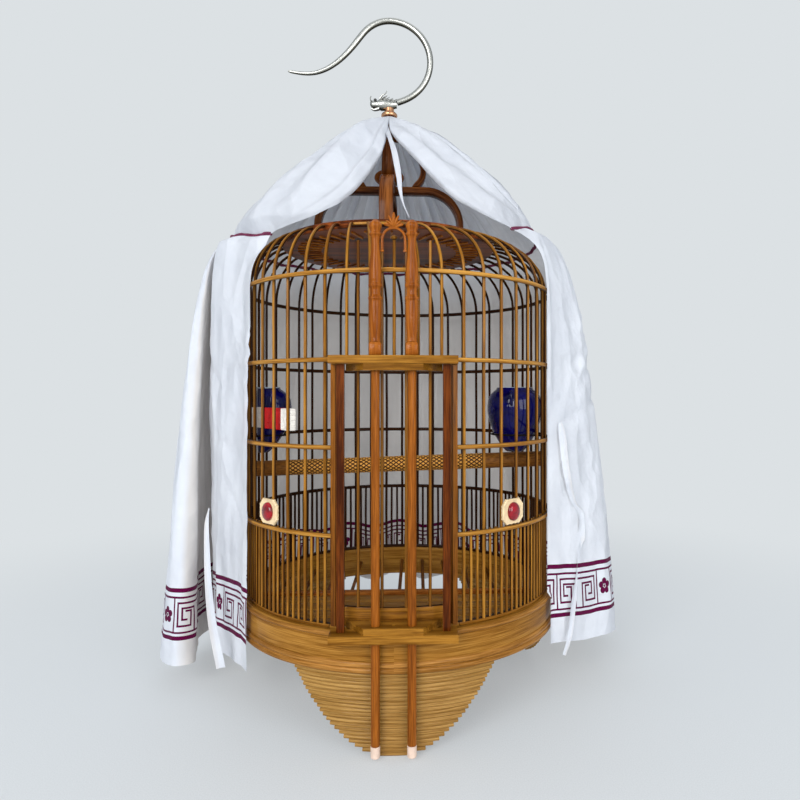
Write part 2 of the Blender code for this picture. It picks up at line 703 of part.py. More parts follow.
def mirrored_arch(half, direction):
    """Full arch in one vertical plane from the points of its half."""
    right = [direction * reach + Vector((0, 0, z)) for reach, z in half]
    left = [direction * -reach + Vector((0, 0, z)) for reach, z in reversed(half)]
    return right + left


def build_claw(top):
    """Two crossed lower arches, two crossed upper arches and a turned cap."""
    side_to_side = Vector((1, 0, 0))
    front_to_back = Vector((0, 1, 0))
    arches = []
    for index, direction in enumerate((side_to_side, front_to_back)):
        across = Vector((0, 0, 1)).cross(direction)
        bm = bmesh.new()
        points = mirrored_arch(claw_arch_points(), direction)
        strip(bm, points, [CLAW_STRIP_THICKNESS] * len(points), [CLAW_STRIP_WIDTH] * len(points), across)
        arches.append(add_object(("claw_arches", "claw_arches_helper")[index], bm, "bamboo_dark", top, True))
    boolean(arches[0], arches[1], "UNION")
    bulbs = []
    for index, direction in enumerate((side_to_side, front_to_back)):
        across = Vector((0, 0, 1)).cross(direction)
        half = bulb_points()
        widths = [CLAW_STRIP_WIDTH + (BULB_TOP_WIDTH - CLAW_STRIP_WIDTH) * i / (len(half) - 1)
                  for i in range(len(half))]
        points = mirrored_arch(half, direction)
        bm = bmesh.new()
        strip(bm, points, [BULB_STRIP_THICKNESS] * len(points), widths + widths[::-1], across)
        bulbs.append(add_object(("claw_bulb", "claw_bulb_helper")[index], bm, "bamboo_dark", top, True))
    boolean(bulbs[0], bulbs[1], "UNION")
    bore = shaft_bore("claw_bulb_bore", BULB_FOOT_Z + BULB_HEIGHT / 2, BULB_TOP + CUT_OVERRUN)
    boolean(bulbs[0], bore, "DIFFERENCE")
    swell = CAP_LOWER_RADIUS - CAP_UPPER_RADIUS
    profile = [(CAP_UPPER_RADIUS + swell * out, CAP_UNDERSIDE + CAP_HEIGHT * up)
               for out, up in CAP_PROFILE_SHARES]
    cap = turned_object("claw_cap", profile, (0, 0), "bamboo_dark", parent=top)
    boolean(cap, shaft_bore("claw_cap_bore", CAP_UNDERSIDE - CUT_OVERRUN, CAP_TOP + CUT_OVERRUN), "DIFFERENCE")


def shaft_bore(name, bottom, top):
    """Cutter for the hook shaft's running hole."""
    radius = HOOK_SHAFT_RADIUS + RUNNING_GAP
    return turned_object(name, [(radius, bottom), (radius, top)], (0, 0), "steel")


def hook_points():
    """Centre line of the hook in the XZ plane, from the ornament to the tip."""
    centre = Vector((0, 0, ORNAMENT_MIDDLE + HOOK_LOOP_RADIUS))
    points = []
    for i in range(HOOK_LOOP_STEPS + 1):
        angle = HOOK_LOOP_START + (HOOK_LOOP_END - HOOK_LOOP_START) * i / HOOK_LOOP_STEPS
        points.append(centre + HOOK_LOOP_RADIUS * Vector((cos(angle), 0, sin(angle))))
    leave = points[-1]
    reach = HOOK_TAIL_REACH + leave.x
    for out, down in HOOK_TAIL_SHARES:
        points.append(Vector((leave.x - reach * out, 0, leave.z - HOOK_TAIL_DROP * down)))
    return points


def build_hook(top):
    """Swivelling hook: knob, shaft, collar, ornament and rod."""
    swivel = add_empty("hook_swivel_axis", (0, 0, COLLAR_UNDERSIDE), top)
    knob_bottom = CLAW_ARCH_TOP + KNOB_CLEARANCE
    knob_profile = scaled_profile(KNOB_PROFILE_SHARES, KNOB_RADIUS, knob_bottom, KNOB_HEIGHT)
    turned_object("hook_knob", knob_profile, (0, 0), "carved_wood", parent=swivel)
    shaft = [(HOOK_SHAFT_RADIUS, knob_bottom + KNOB_HEIGHT + SEAT_GAP),
             (HOOK_SHAFT_RADIUS, COLLAR_UNDERSIDE - SEAT_GAP)]
    turned_object("hook_shaft", shaft, (0, 0), "steel", facets=SMALL_TURNED_FACETS, parent=swivel)
    collar = scaled_profile(COLLAR_PROFILE_SHARES, COLLAR_RADIUS, COLLAR_UNDERSIDE, COLLAR_HEIGHT)
    collar += [(COLLAR_STUB_RADIUS, COLLAR_UNDERSIDE + COLLAR_HEIGHT), (COLLAR_STUB_RADIUS, COLLAR_TOP)]
    turned_object("hook_collar", collar, (0, 0), "copper", parent=swivel)
    build_ornament(swivel)
    points = hook_points()
    last = len(points) - 1
    radii = []
    for i in range(len(points)):
        taper = min(1, (last - i) / (last * HOOK_TAPER_SHARE))
        radii.append(HOOK_TIP_RADIUS + (HOOK_ROD_RADIUS - HOOK_TIP_RADIUS) * taper)
    bm = bmesh.new()
    rod(bm, points, radii, ROD_FACETS, Vector((0, 1, 0)))
    add_object("hook_rod", bm, "steel", swivel, rounded=True)


def build_ornament(swivel):
    """Beast-head ornament at the hook's root: body, snout and two horns."""
    bm = bmesh.new()
    length = ORNAMENT_HEAD_REACH + ORNAMENT_TAIL_REACH
    rings = []
    for size, along in ORNAMENT_SHARES:
        x = -ORNAMENT_HEAD_REACH + length * along
        ring = []
        for k in range(CARVED_FACETS):
            angle = tau * k / CARVED_FACETS
            ring.append(Vector((x, ORNAMENT_DEPTH / 2 * size * cos(angle),
                                ORNAMENT_MIDDLE + ORNAMENT_HEIGHT / 2 * size * sin(angle))))
        rings.append(ring)
    add_loops(bm, rings)
    body = add_object("hook_ornament", bm, "steel", swivel, rounded=True)
    bm = bmesh.new()
    for side in (-1, 1):
        root = Vector((-ORNAMENT_HEAD_REACH * HORN_ROOT_SHARE, side * ORNAMENT_DEPTH / 4, ORNAMENT_MIDDLE))
        tip = root + Vector((ORNAMENT_HEAD_REACH * HORN_SWEEP_SHARE, side * ORNAMENT_DEPTH / 6,
                             ORNAMENT_HEIGHT / 2 + ORNAMENT_HORN_RISE))
        radii = [ORNAMENT_HORN_RADIUS, ORNAMENT_HORN_RADIUS, ORNAMENT_HORN_RADIUS / 2]
        rod(bm, [root, (root + tip) / 2, tip], radii, THIN_ROD_FACETS, Vector((0, 1, 0)))
    boolean(body, add_object("hook_ornament_horns", bm, "steel", rounded=True), "UNION")
    pocket_end = hook_points()[0]
    bm = bmesh.new()
    inner = pocket_end + Vector((-CUT_OVERRUN / 4, 0, 0))
    outer = pocket_end + Vector((ORNAMENT_TAIL_REACH, 0, ORNAMENT_TAIL_REACH * SOCKET_RISE_SHARE))
    radius = HOOK_ROD_RADIUS + RUNNING_GAP
    rod(bm, [inner, outer], [radius, radius * SOCKET_FLARE], ROD_FACETS, Vector((0, 1, 0)))
    boolean(body, add_object("hook_ornament_socket", bm, "steel"), "DIFFERENCE")


def plank_outline(half_front, half_back, front, back_radius):
    """Plan outline with a straight front and a back that follows the wall."""
    reach = atan2(half_back, sqrt(back_radius ** 2 - half_back ** 2))
    outline = [(-half_front, -front), (half_front, -front)]
    for i in range(PLANK_BACK_STEPS + 1):
        angle = reach - 2 * reach * i / PLANK_BACK_STEPS
        point = polar(back_radius, angle, 0)
        outline.append((point.x, point.y))
    return outline


def plank(name, bottom, thickness, block_below, plank_back, block_back):
    """Door plank with its wedge block, bored for the bars."""
    bm = bmesh.new()
    prism(bm, plank_outline(PLANK_HALF_WIDTH, PLANK_HALF_WIDTH, PLANK_FRONT, plank_back), bottom,
          bottom + thickness)
    board = add_object(name, bm, "bamboo_pale")
    low = bottom - BLOCK_THICKNESS if block_below else bottom + thickness - MERGE_OVERLAP
    high = bottom + MERGE_OVERLAP if block_below else bottom + thickness + BLOCK_THICKNESS
    bm = bmesh.new()
    prism(bm, plank_outline(BLOCK_FRONT_HALF_WIDTH, BLOCK_BACK_HALF_WIDTH, PLANK_FRONT - BLOCK_FRONT_INSET,
                            block_back), low, high)
    boolean(board, add_object(f"{name}_block", bm, "bamboo_pale"), "UNION")
    bm = bmesh.new()
    hole_bottom = bottom - BLOCK_THICKNESS - CUT_OVERRUN
    hole_top = bottom + thickness + BLOCK_THICKNESS + CUT_OVERRUN
    for x in (-BAR_SPACING / 2, BAR_SPACING / 2):
        bore = BAR_RADIUS + RUNNING_GAP
        turned(bm, [(bore, hole_bottom), (bore, hole_top)], (x, BAR_Y), BORE_FACETS)
    centre_hole = [(CENTRE_HOLE_RADIUS, hole_bottom), (CENTRE_HOLE_RADIUS, hole_top)]
    turned(bm, centre_hole, (0, BAR_Y), SMALL_TURNED_FACETS)
    boolean(board, add_object(f"{name}_holes", bm, "bamboo_dark"), "DIFFERENCE")


def build_door_frame():
    """Planks, outer posts and inner posts."""
    block_back = HOOP_INNER_RADIUS + SEAT_GAP
    plank("door_plank_top", TOP_PLANK_UNDERSIDE, TOP_PLANK_THICKNESS, True,
          HOOP_OUTER_RADIUS + SEAT_GAP, block_back)
    plank("door_plank_bottom", BOTTOM_PLANK_TOP - BOTTOM_PLANK_THICKNESS, BOTTOM_PLANK_THICKNESS, False,
          BEAD_OUTER_RADIUS + SEAT_GAP, block_back)
    for side, name in ((-1, "left"), (1, "right")):
        centre_x = side * OUTER_POST_OFFSET
        centre_y = -(PLANK_FRONT - OUTER_POST_INSET)
        half = OUTER_POST_SIZE / 2
        bm = bmesh.new()
        box(bm, (centre_x - half, centre_y - half, BOTTOM_PLANK_TOP + SEAT_GAP),
            (centre_x + half, centre_y + half, TOP_PLANK_UNDERSIDE - SEAT_GAP))
        add_object(f"door_post_outer_{name}", bm, "bamboo_dark")
        inner_post(f"door_post_inner_{name}", side * DOOR_HALF_ANGLE)


def inner_post(name, angle):
    """Upright at the edge of the opening, between the sill and the door-top hoop."""
    front = polar(HOOP_OUTER_RADIUS - SEAT_GAP, angle, 0)
    back = polar(HOOP_OUTER_RADIUS - SEAT_GAP - INNER_POST_DEPTH, angle, 0)
    half = polar(INNER_POST_WIDTH / 2, angle + pi / 2, 0)
    outline = [(p.x, p.y) for p in (front - half, front + half, back + half, back - half)]
    bm = bmesh.new()
    prism(bm, outline, SILL_TOP + SEAT_GAP, HOOP_UNDER_DOOR_TOP - SEAT_GAP)
    add_object(name, bm, "bamboo")


def build_door_bars():
    """Bars, caps, turned columns and the arch between them, all lifted together."""
    slide = add_empty("door_bars_axis", (0, BAR_Y, TOP_PLANK_TOP))
    cap_top = BAR_GROUND_CLEARANCE + BAR_CAP_HEIGHT
    column_bottom = TOP_PLANK_TOP + SEAT_GAP
    for side, name in ((-1, "left"), (1, "right")):
        centre = (side * BAR_SPACING / 2, BAR_Y)
        cap = [(BAR_CAP_RADIUS, BAR_GROUND_CLEARANCE), (BAR_CAP_RADIUS, cap_top)]
        turned_object(f"door_bar_cap_{name}", cap, centre, "clear_cap", facets=SMALL_TURNED_FACETS,
                      parent=slide)
        bar = [(BAR_RADIUS, cap_top + SEAT_GAP), (BAR_RADIUS, TOP_PLANK_TOP)]
        turned_object(f"door_bar_{name}", bar, centre, "carved_wood", facets=SMALL_TURNED_FACETS,
                      parent=slide)
        column(f"door_column_{name}", centre, column_bottom, slide)
    door_arch(column_bottom + COLUMN_HEIGHT, slide)


def column(name, centre, bottom, slide):
    """Square base, turned shaft and round cap as one carved column."""
    shaft_bottom = bottom + COLUMN_BASE_HEIGHT
    shaft_height = COLUMN_HEIGHT - COLUMN_BASE_HEIGHT
    profile = [(COLUMN_BULGE_RADIUS * COLUMN_FOOT_SHARE, bottom + MERGE_OVERLAP)]
    profile += scaled_profile(COLUMN_PROFILE_SHARES, COLUMN_BULGE_RADIUS, shaft_bottom, shaft_height)
    cap_bottom = profile[-1][1] + SEAT_GAP
    profile += scaled_profile(COLUMN_CAP_SHARES, COLUMN_CAP_RADIUS, cap_bottom,
                              bottom + COLUMN_HEIGHT - cap_bottom)
    shaft = turned_object(name, profile, centre, "carved_wood", facets=SMALL_TURNED_FACETS, parent=slide)
    half = COLUMN_BASE_HALF_WIDTH
    bm = bmesh.new()
    box(bm, (centre[0] - half, centre[1] - half, bottom), (centre[0] + half, centre[1] + half, shaft_bottom))
    boolean(shaft, add_object(f"{name}_base", bm, "carved_wood"), "UNION")


def door_arch(columns_top, slide):
    """Horseshoe arch with side petals and a leaf on top."""
    top = columns_top - ARCH_TOP_DROP - ARCH_ROD_RADIUS
    spring = top - ARCH_RADIUS
    points = [Vector((ARCH_RADIUS, BAR_Y, spring - ARCH_LEG_LENGTH))]
    for i in range(DOOR_ARCH_STEPS + 1):
        angle = pi * i / DOOR_ARCH_STEPS
        points.append(Vector((ARCH_RADIUS * cos(angle), BAR_Y, spring + ARCH_RADIUS * sin(angle))))
    points.append(Vector((-ARCH_RADIUS, BAR_Y, spring - ARCH_LEG_LENGTH)))
    bm = bmesh.new()
    rod(bm, points, [ARCH_ROD_RADIUS] * len(points), ROD_FACETS, Vector((0, 1, 0)))
    arch = add_object("door_arch", bm, "carved_wood", slide, rounded=True)
    bm = bmesh.new()
    petal_reach = BAR_SPACING / 2 - COLUMN_CAP_RADIUS - SEAT_GAP
    petal_z = top + ARCH_ROD_RADIUS / 2
    half = PETAL_THICKNESS / 2
    box(bm, (-petal_reach, BAR_Y - half, petal_z), (petal_reach, BAR_Y + half, petal_z + PETAL_THICKNESS))
    boolean(arch, add_object("door_arch_petals", bm, "carved_wood"), "UNION")
    bm = bmesh.new()
    rings = []
    for size, up in LEAF_SHARES:
        z = top + LEAF_HEIGHT * up
        ring = []
        for k in range(CARVED_FACETS):
            angle = tau * k / CARVED_FACETS
            ring.append(Vector((LEAF_HALF_WIDTH * size * cos(angle),
                                BAR_Y + LEAF_THICKNESS / 2 * size * sin(angle), z)))
        rings.append(ring)
    add_loops(bm, rings)
    boolean(arch, add_object("door_arch_leaf", bm, "carved_wood", rounded=True), "UNION")


def build_gate():
    """Lifting gate: a bent rail with four rods between the short wires."""
    slide = add_empty("gate_axis", (0, -CAGE_RADIUS, SILL_TOP))
    bottom = SILL_TOP + SEAT_GAP
    half_angle = DOOR_HALF_ANGLE - POST_HALF_ANGLE - RUNNING_GAP / CAGE_RADIUS
    outer = CAGE_RADIUS + WIRE_RADIUS
    section = band_section(outer - GATE_RAIL_THICKNESS, outer, bottom, bottom + GATE_RAIL_HEIGHT)
    rail = arc_object("gate", section, -half_angle, half_angle, "bamboo_pale")
    place_under(rail, slide)
    bm = bmesh.new()
    for pitches in GATE_ROD_PITCHES:
        angle = pitches * PITCH
        points = [polar(CAGE_RADIUS, angle, bottom + GATE_RAIL_HEIGHT / 2),
                  polar(CAGE_RADIUS, angle, SHOULDER_Z + GATE_ROD_ABOVE_SHOULDER)]
        radii = [WIRE_RADIUS * GATE_ROD_RADIUS_SHARE] * 2
        rod(bm, points, radii, THIN_ROD_FACETS, polar(1, angle + pi / 2, 0))
    boolean(rail, add_object("gate_rods_helper", bm, "bamboo"), "UNION")


def build_perch():
    """Perch across the cage, rough in the middle, smooth at both ends."""
    axis = add_empty("perch_axis", (0, 0, PERCH_HEIGHT))
    half = CAGE_RADIUS - WIRE_RADIUS - SEAT_GAP * 2
    stations = [-1, PERCH_END_SHARE - 1]
    span = 2 - 2 * PERCH_END_SHARE
    stations += [span * ((i + 0.5) / PERCH_ROUGH_STEPS - 0.5) for i in range(PERCH_ROUGH_STEPS)]
    stations += [1 - PERCH_END_SHARE, 1]
    points = [Vector((half * s, 0, PERCH_HEIGHT + PERCH_RISE / 2 * s)) for s in stations]
    radii = []
    for i, s in enumerate(stations):
        rough = abs(s) < span / 2
        radii.append(PERCH_RADIUS - (PERCH_ROUGHNESS if rough and i % 2 else 0))
    bm = bmesh.new()
    rod(bm, points, radii, SMALL_TURNED_FACETS, Vector((0, 1, 0)))
    add_object("perch", bm, "bamboo_pale", axis, rounded=True)


def cup_centre(side):
    """Plan position of a cup's axis; the left cup leans on the clip's back end."""
    if side > 0:
        return polar(CAGE_RADIUS - RIGHT_CUP_INSET, CUP_AXIS_PITCHES * PITCH, 0)
    turn = (CUP_AXIS_PITCHES + CLIP_DIRECTION_PITCHES) * PITCH
    reach = (CLIP_FACE - CLIP_THICKNESS - SEAT_GAP - LEFT_CUP_BELLY_RADIUS) / cos(turn)
    return polar(reach, -CUP_AXIS_PITCHES * PITCH, 0)


def build_cups():
    """Two glazed cups, hollow and open at the top."""
    for side, name, belly in ((-1, "left", LEFT_CUP_BELLY_RADIUS), (1, "right", CUP_BELLY_RADIUS)):
        centre = cup_centre(side)
        axis = add_empty(f"cup_{name}_axis", (centre.x, centre.y, CUP_BOTTOM_HEIGHT))
        outer = scaled_profile(CUP_PROFILE_SHARES, belly, CUP_BOTTOM_HEIGHT, CUP_HEIGHT)
        inner_height = CUP_HEIGHT - CUP_WALL
        inner = scaled_profile(CUP_PROFILE_SHARES, belly - CUP_WALL, CUP_BOTTOM_HEIGHT + CUP_WALL, inner_height)
        profile = outer + list(reversed(inner))
        turned_object(f"cup_{name}", profile, (centre.x, centre.y), "glaze", parent=axis)


def cup_ring(name, side, belly):
    """Wire ring that carries a cup below its belly, with two arms to the wall."""
    centre = cup_centre(side)
    middle = side * CUP_AXIS_PITCHES * PITCH
    outward = polar(1, middle, 0)
    along_wall = polar(1, middle + pi / 2, 0)
    z = CUP_BOTTOM_HEIGHT + CUP_HEIGHT * CUP_RING_HEIGHT_SHARE
    centre = Vector((centre.x, centre.y, z))
    radius = belly * CUP_RADIUS_SHARE_AT_RING + CUP_RING_ROD_RADIUS + SEAT_GAP
    wall_reach = CAGE_RADIUS - WIRE_HALF_THICKNESS - SEAT_GAP
    points = [polar(wall_reach, middle + CUP_ARM_PITCHES * PITCH, z)]
    steps = 12
    for i in range(steps + 1):
        angle = CUP_RING_OPEN_HALF_ANGLE + (tau - 2 * CUP_RING_OPEN_HALF_ANGLE) * i / steps
        points.append(centre + radius * (cos(angle) * outward + sin(angle) * along_wall))
    points.append(polar(wall_reach, middle - CUP_ARM_PITCHES * PITCH, z))
    bm = bmesh.new()
    rod(bm, points, [CUP_RING_ROD_RADIUS] * len(points), THIN_ROD_FACETS, Vector((0, 0, 1)))
    add_object(name, bm, "dark_wire", rounded=True)


def build_cup_rings():
    """Ring of each cup."""
    cup_ring("cup_ring_left", -1, LEFT_CUP_BELLY_RADIUS)
    cup_ring("cup_ring_right", 1, CUP_BELLY_RADIUS)


def slab(name, centre, along, outward, length, finish, carved):
    """Upright slab of the cup clip, with a carved step on its outer face."""
    bm = bmesh.new()
    half = along * length / 2
    depth = outward * CLIP_THICKNESS
    rings = []
    for z in (CLIP_UNDERSIDE, CLIP_UNDERSIDE + CLIP_HEIGHT):
        rings.append([p + Vector((0, 0, z)) for p in
                      (centre - half, centre + half, centre + half - depth, centre - half - depth)])
    add_loops(bm, rings)
    body = add_object(name, bm, finish)
    if not carved:
        return
    bm = bmesh.new()
    rings = []
    inset = CLIP_HEIGHT * CLIP_CARVING_INSET_SHARE
    half = along * (length / 2 - inset)
    for z in (CLIP_UNDERSIDE + inset, CLIP_UNDERSIDE + CLIP_HEIGHT - inset):
        rings.append([p + Vector((0, 0, z)) for p in
                      (centre - half + depth / 2, centre + half + depth / 2,
                       centre + half - outward * CLIP_CARVING_DEPTH, centre - half - outward * CLIP_CARVING_DEPTH)])
    add_loops(bm, rings)
    boolean(body, add_object(f"{name}_carving", bm, finish), "DIFFERENCE")


def build_cup_clip():
    """Red bar between two carved white blocks, inside the wires at the left cup."""
    angle = CLIP_DIRECTION_PITCHES * PITCH
    outward = polar(1, angle, 0)
    along = polar(1, angle + pi / 2, 0)
    middle = outward * CLIP_FACE
    back_end = CLIP_BACK_END_LENGTH - CLIP_HALF_LENGTH
    front_end = CLIP_HALF_LENGTH - CLIP_FRONT_END_LENGTH
    bar_length = front_end - back_end - 2 * SEAT_GAP
    slab("cup_clip_bar", middle + along * (front_end + back_end) / 2, along, outward, bar_length,
         "red_resin", False)
    slab("cup_clip_end_back", middle + along * (back_end - CLIP_BACK_END_LENGTH / 2), along, outward,
         CLIP_BACK_END_LENGTH, "bone", True)
    slab("cup_clip_end_front", middle + along * (front_end + CLIP_FRONT_END_LENGTH / 2), along, outward,
         CLIP_FRONT_END_LENGTH, "bone", True)


def build_plates():
    """Two notched plates with an oval stone, hung on the wires above the waist hoop."""
    bottom = WAIST_Z + HOOP_SECTION_HEIGHT / 2 + SEAT_GAP
    for side, name in ((-1, "left"), (1, "right")):
        angle = side * PLATE_PITCHES * PITCH
        outward = polar(1, angle, 0)
        along = polar(1, angle + pi / 2, 0)
        middle = Vector((0, 0, bottom + PLATE_HEIGHT / 2))
        back = outward * (CAGE_RADIUS + WIRE_RADIUS + SEAT_GAP) + middle
        half_w, half_h, notch = PLATE_WIDTH / 2, PLATE_HEIGHT / 2, PLATE_NOTCH
        corners = ((half_w, half_h - notch), (half_w - notch, half_h), (notch - half_w, half_h),
                   (-half_w, half_h - notch), (-half_w, notch - half_h), (notch - half_w, -half_h),
                   (half_w - notch, -half_h), (half_w, notch - half_h))
        rings = []
        for depth in (0, PLATE_THICKNESS):
            rings.append([back + outward * depth + along * u + Vector((0, 0, v)) for u, v in corners])
        bm = bmesh.new()
        add_loops(bm, rings)
        add_object(f"plate_{name}", bm, "bone")
        gem(f"plate_gem_{name}", back + outward * (PLATE_THICKNESS + SEAT_GAP), outward, along)


def gem(name, base, outward, along):
    """Low oval stone on a plate."""
    rings = []
    for size, rise in GEM_SHARES:
        ring = []
        for k in range(GEM_FACETS):
            angle = tau * k / GEM_FACETS
            ring.append(base + outward * (GEM_RISE * rise) + along * (GEM_HALF_WIDTH * size * cos(angle))
                        + Vector((0, 0, GEM_HALF_HEIGHT * size * sin(angle))))
        rings.append(ring)
    bm = bmesh.new()
    add_loops(bm, rings)
    add_object(name, bm, "gem", rounded=True)


def build_floor():
    """Batten across the ring with sticks through it from front to back."""
    reach = RING_INNER_RADIUS * cos(PITCH / 2) - SEAT_GAP
    half_thickness = BATTEN_THICKNESS / 2
    batten_half = sqrt(reach ** 2 - half_thickness ** 2)
    bm = bmesh.new()
    box(bm, (-batten_half, -half_thickness, BATTEN_UNDERSIDE),
        (batten_half, half_thickness, BATTEN_UNDERSIDE + BATTEN_HEIGHT))
    floor = add_object("floor_grid", bm, "carved_wood")
    middle = BATTEN_UNDERSIDE + BATTEN_HEIGHT / 2
    bm = bmesh.new()
    for i in range(-STICK_HALF_COUNT, STICK_HALF_COUNT + 1):
        x = i * STICK_SPACING
        half = sqrt(reach ** 2 - (abs(x) + STICK_RADIUS) ** 2)
        rod(bm, [Vector((x, -half, middle)), Vector((x, half, middle))], [STICK_RADIUS] * 2, THIN_ROD_FACETS,
            Vector((1, 0, 0)))
    boolean(floor, add_object("floor_sticks_helper", bm, "bamboo_dark"), "UNION")


def cone_row(share):
    """Radius, height, fold depth and lean of one row between the neck and the seam."""
    radius = CLOTH_NECK_RADIUS + (CLOTH_SEAM_RADIUS - CLOTH_NECK_RADIUS) * share
    z = CLOTH_NECK_Z + (CLOTH_SEAM_Z - CLOTH_NECK_Z) * share ** CONE_BOW_POWER
    return radius, z, CLOTH_FOLD_DEPTH * CLOTH_FOLD_SHARE_AT_SEAM * share, -TOP_LEAN * (1 - share)


def skirt_row(share):
    """Radius, height, fold depth and lean of one row between the seam and the hem."""
    radius = CLOTH_SEAM_RADIUS + (CLOTH_HEM_RADIUS - CLOTH_SEAM_RADIUS) * share ** SKIRT_BOW_POWER
    z = CLOTH_SEAM_Z + (CLOTH_HEM_HEIGHT - CLOTH_SEAM_Z) * share
    growth = CLOTH_FOLD_SHARE_AT_SEAM + (1 - CLOTH_FOLD_SHARE_AT_SEAM) * share ** FOLD_GROWTH_POWER
    return radius, z, CLOTH_FOLD_DEPTH * growth, 0


def build_cloth():
    """Cotton cover hung from the hook's collar, open in front, with its main folds."""
    rows = [cone_row(i / CLOTH_CONE_ROWS) for i in range(CLOTH_CONE_ROWS + 1)]
    rows += [skirt_row((i + 1) / CLOTH_SKIRT_ROWS) for i in range(CLOTH_SKIRT_ROWS)]
    columns = CLOTH_FOLDS * CLOTH_COLUMNS_PER_FOLD
    span = tau - 2 * CLOTH_OPENING_HALF_ANGLE
    bm = bmesh.new()
    sheets = []
    for inward in (0, 1):
        sheet = []
        for radius, z, depth, lean in rows:
            line = []
            for j in range(columns + 1):
                angle = CLOTH_OPENING_HALF_ANGLE + span * j / columns
                fold = depth * cos(tau * CLOTH_FOLDS * (j / columns - 0.5))
                point = polar(radius + fold - inward * CLOTH_THICKNESS, angle, z)
                line.append(bm.verts.new(point + Vector((lean, 0, 0))))
            sheet.append(line)
        sheets.append(sheet)
        grid_faces(bm, sheet, False, False)
    outer, inner = sheets
    grid_faces(bm, [outer[0], inner[0]], False, False)
    grid_faces(bm, [outer[-1], inner[-1]], False, False)
    for j in (0, -1):
        grid_faces(bm, [[row[j] for row in outer], [row[j] for row in inner]], False, False)
    add_object("cover", bm, "cotton", rounded=True)


def stand_on_origin():
    """Move everything so that the origin lies on the ground under the bounding box's middle."""
    stand = add_empty("stand", (0, 0, 0))
    for obj in bpy.context.scene.objects:
        if obj.parent is None and obj is not stand:
            obj.parent = stand
    depsgraph = bpy.context.evaluated_depsgraph_get()
    corners = []
    for obj in bpy.context.scene.objects:
        if obj.type == "MESH" and not obj.hide_render:
            shape = obj.evaluated_get(depsgraph)
            corners += [shape.matrix_world @ Vector(corner) for corner in shape.bound_box]
    for axis in (0, 1):
        values = [corner[axis] for corner in corners]
        stand.location[axis] = -(min(values) + max(values)) / 2


def main():
    """Build the whole cage; the dome's top, the claw and the hook lean to the left as one."""
    clear_scene()
    top = add_empty("top_axis", (0, 0, 0))
    build_base()
    build_feet()
    build_floor()
    build_wall()
    build_hoops()
    build_top_disc(top)
    build_claw(top)
    build_hook(top)
    build_door_frame()
    build_door_bars()
    build_gate()
    build_perch()
    build_cups()
    build_cup_rings()
    build_cup_clip()
    build_plates()
    build_cloth()
    top.location.x = -TOP_LEAN
    stand_on_origin()


main()
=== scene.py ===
"""Bamboo bird cage with its cotton cover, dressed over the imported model.

Pieces are built round the cage's own axis, in metres, and then moved to where the frame has it.
"""
from functools import cache
from itertools import accumulate
from math import acos, asin, atan2, cos, exp, pi, radians, sin, sqrt, tau

import bmesh
import bpy
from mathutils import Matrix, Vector, noise


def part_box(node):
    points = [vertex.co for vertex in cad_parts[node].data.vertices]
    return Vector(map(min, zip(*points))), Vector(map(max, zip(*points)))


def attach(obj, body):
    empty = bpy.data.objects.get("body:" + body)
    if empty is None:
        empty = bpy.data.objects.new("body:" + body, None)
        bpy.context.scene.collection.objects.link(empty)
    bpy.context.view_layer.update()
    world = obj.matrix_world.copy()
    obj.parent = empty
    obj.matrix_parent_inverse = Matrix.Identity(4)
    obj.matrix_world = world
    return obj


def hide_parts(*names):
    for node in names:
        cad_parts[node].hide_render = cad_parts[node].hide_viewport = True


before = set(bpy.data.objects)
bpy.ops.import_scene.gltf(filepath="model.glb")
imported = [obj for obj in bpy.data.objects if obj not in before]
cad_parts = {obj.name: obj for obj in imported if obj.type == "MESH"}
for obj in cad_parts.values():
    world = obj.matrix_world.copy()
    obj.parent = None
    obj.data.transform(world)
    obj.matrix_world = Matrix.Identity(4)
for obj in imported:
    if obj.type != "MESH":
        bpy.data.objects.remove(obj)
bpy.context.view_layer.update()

MM = 0.001
RIGHT, BACK, UP = Vector((1, 0, 0)), Vector((0, 1, 0)), Vector((0, 0, 1))
AXIS = (Vector(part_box("base_ring")[0]) + Vector(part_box("base_ring")[1])) / 2
AXIS.z = 0.0


@cache
def span(node, axis):
    """Lowest and highest value of a node along one axis, from the cage's own axis."""
    low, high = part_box(node)
    return low[axis] - AXIS[axis], high[axis] - AXIS[axis]


def middle(node, axis):
    return sum(span(node, axis)) / 2


def extent(node, axis):
    low, high = span(node, axis)
    return high - low


TOP_X = middle("hook_shaft", 0)
WIRE_RADIUS = 1.5 * MM
FINE_RADIUS = 1.25 * MM
CAGE_RADIUS = -middle("door_centre_rod", 1)
RING_OUTER = span("base_ring", 0)[1]
RING_INNER = RING_OUTER - 10.0 * MM
SILL_BOTTOM, SILL_TOP = span("door_sill", 2)
SHOULDER_Z = middle("hoop_shoulder", 2)
DOOR_TOP_Z = middle("hoop_door_top", 2)
WAIST_Z = middle("hoop_waist", 2)
DISC_BOTTOM, DISC_TOP = span("top_disc", 2)
DISC_RADIUS = extent("top_disc", 0) / 2
BEND_RADIUS = 55.0 * MM
WIRE_TRAVEL = CAGE_RADIUS - DISC_RADIUS - 0.8 * MM
DOME_TURN = acos(1 - WIRE_TRAVEL / BEND_RADIUS)
BAR_X, BAR_Y = middle("door_bar_right", 0), middle("door_bar_left", 1)
WIRE_COUNT = 48
PITCH = tau / WIRE_COUNT
CAMERA_TURN = radians(1.5)
SIDES = ((-1, "left"), (1, "right"))


def polar(radius, angle, z=0.0):
    """Point at an angle from the door, positive to the right of it."""
    return Vector((radius * sin(angle), -radius * cos(angle), z))


def mm(x, y, z):
    return Vector((x, y, z)) * MM


def mix(a, b, share):
    return a + (b - a) * share


def steps(count):
    """Shares from 0 to 1."""
    return [i / count for i in range(count + 1)]


